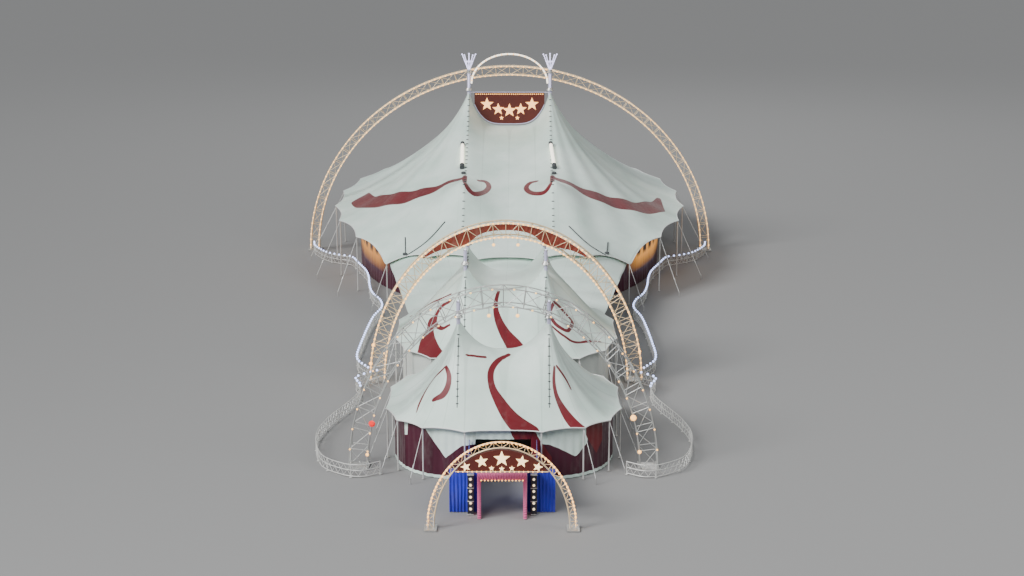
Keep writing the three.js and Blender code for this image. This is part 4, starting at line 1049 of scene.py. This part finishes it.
# lit is the material of the front chords. Each lamp on a leg has its side, its angle up the arch, whether it is
# outside or inside the middle line, its radius and its material.
arches = {
    "main": dict(y=91.3, halfWidth=24, rise=22.1, depth=1.0, bays=44, chord=0.07, lit=4, bulbs=110, bulb=0.085,
                 stations=132, paint=archPaint, lamps=()),
    "mid": dict(y=36.4, halfWidth=11.8, rise=14.2, depth=1.3, bays=36, chord=0.065, lit=4, bulbs=96, bulb=0.09,
                stations=84, paint=archPaint,
                lamps=((-1, 0.24, 1, 0.17, 3), (-1, 0.12, 1, 0.17, 3), (-1, 0.03, 1, 0.17, 3),
                       (1, 0.2, 1, 0.15, 3))),
    "front": dict(y=12.9, halfWidth=11.4, rise=13.9, depth=1.4, bays=24, chord=0.045, lit=0, bulbs=26,
                  bulb=0.07, stations=84, paint=greyPaint,
                  lamps=((-1, 0.3, -1, 0.27, 1), (1, 0.34, -1, 0.25, 3), (1, 0.12, -1, 0.16, 3),
                         (-1, 0.1, -1, 0.14, 3))),
}
lattice = {"lift": 0.02, "frame": 0.035, "diagonal": 0.03, "plate": (1.66, 1.66, 0.12), "clamp": 0.05}
hood = {"reach": 7.2, "setBack": -0.4, "above": 0.5, "width": 1.0}


def archLine(arch, outward, sideways, count):
    # Places an equal length apart on a half ellipse, from the left foot to the right one.
    a, b = arch["halfWidth"] + outward, arch["rise"] + outward
    turn = np.linspace(0, np.pi, 2001)
    run = runAlong(np.stack([-a * np.cos(turn), b * np.sin(turn)], -1))
    at = np.interp(np.linspace(0, run[-1], count), run, turn)
    return placed(-a * np.cos(at), arch["y"] + sideways, b * np.sin(at) + lattice["lift"])


def laced(first, second, frame, diagonal):
    # Bars between two chords: one straight across at each knot, and a zigzag from knot to knot.
    return [bars(first[1:-1], second[1:-1], frame, 6, 0), bars(first[:-1:2], second[1::2], diagonal, 6, 0),
            bars(second[1:-1:2], first[2::2], diagonal, 6, 0)]


def archFoot(arch, x, half):
    # A plate with six bolts and a short sleeve round each chord.
    top = lattice["plate"][2]
    bolts = pattern(x, arch["y"], top, (-0.7, 0, 0.7), (-0.75, 0.75))
    legs = pattern(x, arch["y"], top, (-half, half), (-half, half))
    return [slab((x, arch["y"], top / 2), lattice["plate"], 2), bars(bolts, bolts + (0, 0, 0.06), 0.05, 6, 2),
            bars(legs, legs + (0, 0, 0.12), 0.12, 8, 2)]


def archLamps(arch, half):
    # Two lamps hang under the crown, and larger ones are clamped to the legs.
    tops = placed([-1.1, 1.1], arch["y"] - half, arch["rise"] - half - 0.06)
    parts = [bars(tops - (0, 0, 0.55), tops, 0.03, 6, 2), beads(tops - (0, 0, 0.62), 0.15, 3)]
    for side, angle, out, size, mat in arch["lamps"]:
        a, b = arch["halfWidth"] + out * half, arch["rise"] + out * half
        z = b * np.sin(angle) + lattice["lift"]
        place = placed([side * a * np.cos(angle)], arch["y"] - half - 0.1 - size, z)
        parts += [beads(place, size, mat), bars(place, place + (0, size + 0.14, 0), lattice["clamp"], 8, 2)]
    return parts


def makeArch(name):
    # Four chords in a square, tied by frames and diagonals, with a row of bulbs along both front chords.
    arch = arches[name]
    half = arch["depth"] / 2
    corners = [(-half, -half), (half, -half), (half, half), (-half, half)]
    knots = [archLine(arch, out, back, arch["bays"] + 1) for out, back in corners]
    parts = [tube(archLine(arch, out, back, arch["stations"]), arch["chord"], 8,
                  arch["lit"] if back < 0 else 0, acrossY) for out, back in corners]
    for first, second in zip(knots, knots[1:] + knots[:1]):
        parts += laced(first, second, lattice["frame"], lattice["diagonal"])
    for out in (-half, half):
        bulbs = archLine(arch, out, -half - arch["chord"] * 0.9, arch["bulbs"])
        parts.append(beads(bulbs[1:-1], arch["bulb"], 3))
    for x in (-arch["halfWidth"], arch["halfWidth"]):
        parts += archFoot(arch, x, half)
    if arch["lamps"]:
        parts += archLamps(arch, half)
    makePiece(f"{name}_arch_lattice", parts, [arch["paint"], redBall, zinc, warmBulb, archGlow],
              [f"{name}_arch"])


def makeHood():
    # The hood cloth is laced under the outer chords of the middle arch, upright, and widest over the two masts.
    arch = arches["mid"]
    line = archLine(arch, 0.0, hood["setBack"], 1200)
    line = line[np.abs(line[:, 0]) < hood["reach"]][::3]
    outward = placed(line[:, 0] / arch["halfWidth"] ** 2, 0, line[:, 2] / arch["rise"] ** 2)
    outward /= np.linalg.norm(outward, axis=1)[:, None]
    x = np.abs(line[:, 0])
    wide = 0.55 + 0.6 * np.exp(-((x - 4.0) / 1.3) ** 2) - 0.4 * np.clip((x - 5.4) / 1.8, 0, 1)
    rows = np.linspace(0, 1, 12)[:, None]
    ripple = 0.035 * np.sin(line[:, 0] * 16)[None] * np.sin(np.pi * rows)
    up = hood["above"] - wide[None] * rows
    top = line[None] + up[..., None] * outward[None] + placed(0, ripple, 0)
    piece = makePiece("mid_arch_hood", [shell(top, top + (0, 0.03, 0))], [hoodCloth], sharp=1.2)
    declareCloth(piece, runAlong(top[0])[-1] * scale * 1.01, hood["width"] * scale, "stretched")


def makeArches():
    for name in arches:
        makeArch(name)
    makeHood()
    print("arches made")


def star(x, y, z, size, turn=0.0):
    # A flat star of five points that faces the front: its outline goes in and out by turns.
    angle = np.pi / 2 + turn + np.arange(10) * np.pi / 5
    reach = np.where(np.arange(10) % 2 == 0, 1, 0.42) * size
    ring = placed(x + reach * np.cos(angle), y, z + reach * np.sin(angle))
    small = (x, y, z) + (ring - (x, y, z)) * (0.88, 1, 0.88)
    return loft([ring, ring - (0, 0.042, 0), small - (0, 0.07, 0)], 2)


# Stars are (x, z, size), and on the entrance sign also how far they are turned.
mastSign = {"y": 90, "half": 4.2, "top": 19.6, "above": 0.23, "front": 89.89, "thickness": 0.2, "tube": 0.095,
            "spring": 20.7, "rise": 3.5, "bulbs": (89.86, 19.42), "frame": (90.14, 18.9),
            "stars": ((-2.7, 18.2, 0.82), (-1.35, 17.6, 0.75), (0, 17.45, 0.85), (1.35, 17.6, 0.75),
                      (2.7, 18.2, 0.82), (-0.95, 16.55, 0.28), (0.95, 16.55, 0.28))}
entranceStars = ((-2.55, 4.72, 0.36, 0.3), (-1.42, 5.12, 0.47, 0.15), (0, 5.33, 0.6, 0),
                 (1.42, 5.12, 0.47, -0.15), (2.55, 4.72, 0.36, -0.3), (-0.72, 4.62, 0.2, 0), (0, 4.58, 0.2, 0),
                 (0.72, 4.62, 0.2, 0))
# The solid masts have ten sides, and what stands between them reaches to their flats.
mastFlat = tents["main"]["peakX"] - tents["main"]["mastRadius"] * np.cos(np.pi / 10) - gap


def makeMastArch():
    # A half ellipse of lit tube between the two main masts.
    turn = np.linspace(0, np.pi, 61)
    z = mastSign["spring"] + mastSign["rise"] * np.sin(turn)
    path = placed(-(mastFlat - 0.1) * np.cos(turn), mastSign["y"], z)
    feet = path[[4, -5]]
    parts = [tube(path, mastSign["tube"], 12, 0, acrossY), beads(path[2:-2:3] - (0, 0.1, 0), 0.09, 1),
             bars(feet, feet - (0, 0, 0.5), 0.04, 6, 0)]
    makePiece("mast_arch_tube", parts, [whiteTube, warmBulb], ["mast_arch"])


def makeMastSign():
    # A board whose lower edge follows the sag of the roof.
    sign, main = mastSign, tents["main"]
    xs = np.linspace(-sign["half"], sign["half"], 61)
    low = np.maximum(roofHeight(main, xs, sign["y"]), roofHeight(main, xs, sign["y"] - 0.12)) + sign["above"]
    face = placed(xs, sign["front"], low + (sign["top"] - low) * np.linspace(0, 1, 5)[:, None])
    beam = placed([-mastFlat, mastFlat], sign["y"], sign["top"] + 0.02)
    parts = [shell(face, face + (0, sign["thickness"], 0), 0), tube(face[0], 0.05, 6, 1, acrossY),
             bars(beam[:1], beam[1:], 0.06, 10, 1),
             beads(placed(np.linspace(-4.0, 4.0, 33), *sign["bulbs"]), 0.07, 3)]
    parts += [star(x, sign["front"], z, size) for x, z, size in sign["stars"]]
    y, z = sign["frame"]
    struts = placed([-3.2, 3.2, -3.9], y, z)
    parts.append(bars(struts, [(-3.2, y, sign["top"]), (3.2, y, sign["top"]), (3.9, y, z)], 0.03, 6, 1))
    makePiece("mast_sign_board", parts, [boardPaint, mastPaint, amberStar, warmBulb],
              ["mast_sign"])
    print("mast sign made")


# The entrance: its arch and sign, the portal behind them, the curtains beside it and the lamp columns.
gate = dict(halfWidth=5.1, rise=6.3, y=0.0, depth=0.45, chord=0.07)
gateSign = {"foot": 4.3, "front": -0.12, "thickness": 0.24}
portal = {"half": 1.8, "post": 0.25, "front": 1.8, "back": 3.3, "height": 3.5}
drape = {"wingY": 3.15, "wingEdge": 3.9, "runX": 2.5, "runPosts": (5.2, 7.4), "height": 3.4, "rail": 3.36,
         "thickness": 0.022, "fold": 0.26}
column = {"x": 2.3, "height": 3.1, "case": 0.46, "band": 0.5, "lamps": 6}


def makeGate():
    # The entrance arch is flat: two chords, laced, with a row of bulbs and a prop at each foot.
    half = gate["depth"] / 2
    inner, outer = (archLine(gate, out, 0, 90) for out in (-half, half))
    parts = [tube(inner, 0.055, 10, 0, acrossY), tube(outer, 0.055, 10, 1, acrossY),
             *laced(archLine(gate, -half, 0, 33), archLine(gate, half, 0, 33), 0.03, 0.026),
             beads(archLine(gate, half, -0.09, 64)[1:-1], 0.085, 2)]
    for x in (-gate["halfWidth"], gate["halfWidth"]):
        foot, top = placed([x - half, x + half], -0.5, 0.1), placed([x - half, x + half], 0, 1.1)
        parts += [slab((x, 0, 0.05), (0.9, 1.2, 0.1), 3), bars(foot, top, 0.035, 6, 3)]
    makePiece("entrance_arch_lattice", parts, [archPaint, archGlow, warmBulb, zinc],
              ["entrance_arch"])


def makeGateSign():
    # The board fills the arch above its foot: its upper edge is an ellipse just inside the inner chord.
    inward = gate["depth"] / 2
    rimX, rimZ = gate["halfWidth"] - inward - gate["chord"] - 0.02, gate["rise"] - inward - gate["chord"] - 0.02
    foot = gateSign["foot"]
    edge = rimX * np.sqrt(1 - (foot / rimZ) ** 2)
    xs = np.linspace(-edge * 0.995, edge * 0.995, 61)
    top = np.maximum(rimZ * np.sqrt(np.maximum(0, 1 - (xs / rimX) ** 2)), foot + 0.01)
    face = placed(xs, gateSign["front"], foot + (top - foot) * np.linspace(0, 1, 5)[:, None])
    parts = [shell(face, face + (0, gateSign["thickness"], 0), 0),
             tube(face[0] + (0, -0.01, 0.06), 0.045, 8, 1), beads(face[0][2:-2:3] + (0, -0.02, 0.06), 0.06, 3)]
    parts += [star(x, gateSign["front"], z, size, turn) for x, z, size, turn in entranceStars]
    makePiece("entrance_sign_board", parts, [boardPaint, archPaint, creamStar, warmBulb],
              ["entrance_sign"])


def makePortal():
    # Cloth wrapped over a frame: from the inner edge of its front outward, then back along its sides and top.
    p = portal
    half, post, front, height = p["half"], p["post"], p["front"], p["height"]
    outer = np.array([(-half, 0.02), (-half, height), (half, height), (half, 0.02)])
    inner = np.array([(post - half, 0.02), (post - half, height - 2 * post),
                      (half - post, height - 2 * post), (half - post, 0.02)])
    run = runAlong(outer)
    at = np.unique(np.concatenate([np.linspace(0, run[-1], 260), run]))
    ox, oz, ix, iz = (np.interp(at, run, values) for values in (*outer.T, *inner.T))
    ripple, overhead = 0.028 * np.sin(at * 2 * np.pi / 0.2), oz > height - 0.1
    faceRows = ((0, 0.06, 1), (0.35, 0.03, 1), (0.7, 0.03, 1), (0.93, 0.05, 0.6), (1, 0.16, 0.3))
    grid = [placed(ix + (ox - ix) * share, front + behind + ripple * wave, iz + (oz - iz) * share)
            for share, behind, wave in faceRows]
    tuckIn = np.where(np.abs(ox) > 1, 0.02, 0)
    for y in np.linspace(front + 0.3, p["back"] - 0.02, 8):
        inward = tuckIn + 0.012 * np.abs(np.sin(at * 7 + y))
        sag = 0.03 * np.sin(np.pi * (y - front) / (p["back"] - front)) * overhead
        grid.append(placed(ox - np.sign(ox) * inward, y, oz - sag))
    top = np.array(grid)
    bottom = top * (0.985, 1, 1)
    bottom[..., 2] -= 0.025 * overhead
    bottom[:len(faceRows), :, 1] += 0.03
    piece = makePiece("portal_cloth", [shell(top, bottom)], [pinkCloth], ["entrance_portal"],
                      sharp=1.2)
    declareCloth(piece, run[-1] * scale * 1.03, longestColumn(top) * scale, "stretched")
    feet = pattern(0, 0, 0.0, (0.12 - half, half - 0.12), (front + 0.14, p["back"] - 0.1))
    heads = feet + (0, 0, height - 0.1)
    fringe = placed(np.linspace(-1.5, 1.5, 13), front + 0.02, 2.98)
    parts = [bars(feet, heads, 0.04, 8, 0), bars(heads[[0, 2, 0, 1]], heads[[1, 3, 2, 3]], 0.035, 8, 0),
             beads(fringe, 0.055, 1)]
    makePiece("portal_frame", parts, [zinc, warmBulb])


def makeDrape(part, word, side, start, end, across):
    # A straight curtain with folds that wander from row to row and are deeper at the foot.
    (x0, y0), (x1, y1) = start, end
    length = np.hypot(x1 - x0, y1 - y0)
    s, rows = np.linspace(0, 1, int(length / 0.022)), np.linspace(0, 1, 10)[:, None]
    wave = np.sin(s * length * 2 * np.pi / drape["fold"] + 0.6 * np.sin(rows * 5 + s * 9))
    wave = wave * (0.022 + 0.022 * (1 - rows)) * (1 - 0.5 * rows ** 8)
    flip, across = np.array([side, 1, 1]), np.array([*across, 0])
    top = placed(x0 + (x1 - x0) * s, y0 + (y1 - y0) * s, 0.03 + (drape["height"] - 0.04) * rows)
    top = top + wave[..., None] * across
    cloth = shell(top * flip, (top + drape["thickness"] * across) * flip)
    piece = makePiece(f"entrance_{part}_cloth_{word}", [cloth], [blueCloth],
                      [f"entrance_drape_{word}"] if part == "wing" else (), sharp=1.2)
    declareCloth(piece, runAlong(top[0])[-1] * scale, drape["height"] * scale, "gathered")


def makeDrapes(word, side):
    # A wing beside the portal, a run from there to the door wall, and the rail that both hang from.
    wingY, runX = drape["wingY"] + 0.06, drape["runX"] + 0.06
    wallY = wallPlace(tents["front"], angleAtX(tents["front"], passages["front"][0], True))[1]
    makeDrape("wing", word, side, (portal["half"] + 0.02, wingY), (drape["wingEdge"] - 0.02, wingY), (0, 1))
    makeDrape("run", word, side, (runX, drape["wingY"] + 0.13), (runX, wallY - 0.05), (1, 0))
    flip, up = np.array([side, 1, 1]), drape["rail"]
    starts = np.array([(portal["half"] + 0.03, wingY, up), (runX, wingY, up)]) * flip
    ends = np.array([(drape["wingEdge"] - 0.03, wingY, up), (runX, wallY - 0.06, up)]) * flip
    feet = np.array([(drape["wingEdge"] - 0.06, drape["wingY"] + 0.1, 0),
                     *((drape["runX"] + 0.1, y, 0) for y in drape["runPosts"])]) * flip
    parts = [bars(starts, ends, 0.025, 8, 0), bars(feet, feet + (0, 0, up), 0.03, 8, 0)]
    makePiece(f"entrance_rail_{word}", parts, [zinc])


def makeLampColumn(word, side):
    # A black case with metal bands and a column of round lamps on its front.
    x, y, z = column["x"] * side, drape["wingY"] - gap - column["band"] / 2, column["height"]
    case, band = column["case"], column["band"]
    parts = [slab((x, y, z / 2), (case, case, z - 0.02), 0)]
    parts += [slab((x, y, h), (band, band, 0.06), 1) for h in (0.03, 1.04, 2.07, z - 0.03)]
    dots = placed(x, y - 0.235, np.linspace(0.45, 2.75, column["lamps"]))
    parts += [bars(dots + (0, 0.02, 0), dots - (0, 0.01, 0), 0.13, 12, 1), beads(dots - (0, 0.01, 0), 0.085, 2)]
    makePiece(f"lamp_column_case_{word}", parts, [blackCase, zinc, creamStar],
              [f"lamp_column_{word}"], bevel=0.02)


def makeEntrance():
    makeGate()
    makeGateSign()
    makePortal()
    for word, side in sides:
        makeDrapes(word, side)
        makeLampColumn(word, side)
    print("entrance made")


# Corners in plan on the right side, between the arch feet and, for the front one, a stake of the front tent.
frontLoop = [(13.5, 33.4), (12.9, 30.8), (13.2, 27.6), (14.8, 22), (15.3, 17.7), (14.4, 13), (12.6, 10.9),
             (11, 10.4)]
sideLine = [(23.6, 88.2), (22, 84.9), (20.2, 83.2), (18.6, 82.2), (17.4, 78.7), (16.3, 75.2), (15.7, 71.9),
            (15.3, 68.2), (14.7, 64.8), (13.6, 61.6), (13.2, 58.5), (13.8, 54), (14.1, 45), (14, 39.5)]
barrier = {"plate": 1.7, "half": 0.05, "rails": (0.12, 0.6, 1.06), "post": 1.1, "postPitch": 2.3,
           "bulbPitch": 0.75, "bulb": 0.11, "bulbHeight": 1.17, "frontBulbsFrom": 30.6}


def makeBarrier(kind, word, side, corners, bulbsFrom):
    # Three rails on posts, with crossed wires between them and bulbs along the top.
    plan = smoothLine(corners, 400)
    run = runAlong(plan)

    def along(count, z):
        at = np.linspace(0, run[-1], count)
        return placed(np.interp(at, run, plan[:, 0]) * side, np.interp(at, run, plan[:, 1]), z)

    posts = int(run[-1] / barrier["postPitch"]) + 1
    wires = (posts - 1) * 4 + 1
    foot, low, high = along(posts, 0.0), along(wires, 0.16), along(wires, 1.04)
    bulbs = along(int(run[-1] / barrier["bulbPitch"]), barrier["bulbHeight"])
    parts = [tube(along(240, z), 0.036, 8, 0) for z in barrier["rails"]]
    parts += [bars(foot, foot + (0, 0, barrier["post"]), 0.045, 8, 0), bars(low[:-1], high[1:], 0.018, 6, 0),
              bars(high[:-1], low[1:], 0.018, 6, 0), bars(foot, foot + (0, 0, 0.03), 0.12, 8, 0),
              beads(bulbs[bulbs[:, 1] > bulbsFrom], barrier["bulb"], 1)]
    makePiece(f"{kind}_barrier_rails_{word}", parts, [polePaint, coolBulb],
              [f"{kind}_barrier_{word}"])


def makeBarriers():
    # Each line starts and ends beside the plate of an arch's foot, or beside a stake.
    beside = barrier["plate"] / 2 + gap + barrier["half"]
    stakeX, stakeY = stakePlace(tents["front"], -3)
    besideStake = stakeX + rim["stakeHalf"] + barrier["half"] + gap
    main, mid = arches["main"], arches["mid"]
    front = [(mid["halfWidth"], mid["y"] - beside), *frontLoop, (besideStake, stakeY)]
    side = [(main["halfWidth"], main["y"] - beside), *sideLine, (mid["halfWidth"] + beside, mid["y"])]
    for kind, corners, bulbsFrom in (("front", front, barrier["frontBulbsFrom"]), ("side", side, 0)):
        for word, flip in sides:
            makeBarrier(kind, word, flip, corners, bulbsFrom)
    print("barriers made")


makeRims()
makeLacing()
makeLightBars()
makeMasts()
makeArches()
makeMastArch()
makeMastSign()
makeEntrance()
makeBarriers()
for name in tents:
    declareRoof(name)

camera = {"place": (1.26, -114.0, 46.0), "heading": (-0.0503, 0.9987), "pitch": 16.6, "pixels": 710.0,
          "aim": (543.5, 255.0), "zoom": 2.398, "photoSize": (1024, 576)}
floorLook = {"half": 160, "z": -0.004, "color": (0.27, 0.27, 0.268)}
worldLook = {"color": (0.78, 0.82, 0.88, 1), "strength": 0.22}
# Each light has its place, what it shines on, its kind, its size or angle, and its power.
lights = (((-13, -8, 11), (0, 0, 0), "SUN", 0.35, 3.4), ((-5, -15, 9), (0, -1, 0.5), "AREA", 5, 1100),
          ((10, -9, 10), (0, 1, 0), "AREA", 6, 700), ((2, 14, 12), (0, 0, 0), "AREA", 8, 500))


def makeCamera():
    # The photograph's camera, turned to the middle of the object and zoomed in on it.
    pitch = np.radians(camera["pitch"])
    width, height = camera["photoSize"]
    level = np.array([*camera["heading"], 0]) / np.linalg.norm(camera["heading"])
    ahead = level * np.cos(pitch) - np.array([0, 0, np.sin(pitch)])
    right = np.array([level[1], -level[0], 0])
    up = np.cross(right, ahead)
    across, down = camera["aim"][0] - width / 2, camera["aim"][1] - height / 2
    look = ahead * camera["pixels"] + right * across - up * down
    data = bpy.data.cameras.new("camera")
    data.sensor_width = 36
    data.lens = camera["pixels"] * camera["zoom"] * data.sensor_width / width
    data.clip_end = 400
    item = bpy.data.objects.new("camera", data)
    item.location = toModel(camera["place"])
    item.rotation_euler = Vector(look).to_track_quat("-Z", "Y").to_euler()
    bpy.context.scene.collection.objects.link(item)
    bpy.context.scene.camera = item


def makeFloor():
    half, z = floorLook["half"], floorLook["z"]
    corners = [(-half, -half, z), (half, -half, z), (half, half, z), (-half, half, z)]
    mesh = bpy.data.meshes.new("floor")
    mesh.from_pydata(corners, [], [(0, 1, 2, 3)])
    mesh.materials.append(newMaterial("floorPaint", 0.85, 0, floorLook["color"])[0])
    floor = bpy.data.objects.new("floor", mesh)
    bpy.context.scene.collection.objects.link(floor)


def makeLights():
    world = bpy.data.worlds.new("world")
    bpy.context.scene.world = world
    world.use_nodes = True
    world.node_tree.nodes["Background"].inputs[0].default_value = worldLook["color"]
    world.node_tree.nodes["Background"].inputs[1].default_value = worldLook["strength"]
    for place, aim, kind, size, power in lights:
        data = bpy.data.lights.new("softLight", kind)
        data.energy = power
        if kind == "SUN":
            data.angle = size
        else:
            data.size = size
        item = bpy.data.objects.new("softLight", data)
        item.location = place
        item.rotation_euler = (Vector(aim) - Vector(place)).to_track_quat("-Z", "Y").to_euler()
        bpy.context.scene.collection.objects.link(item)


makeCamera()
makeFloor()
makeLights()
bpy.context.view_layer.update()
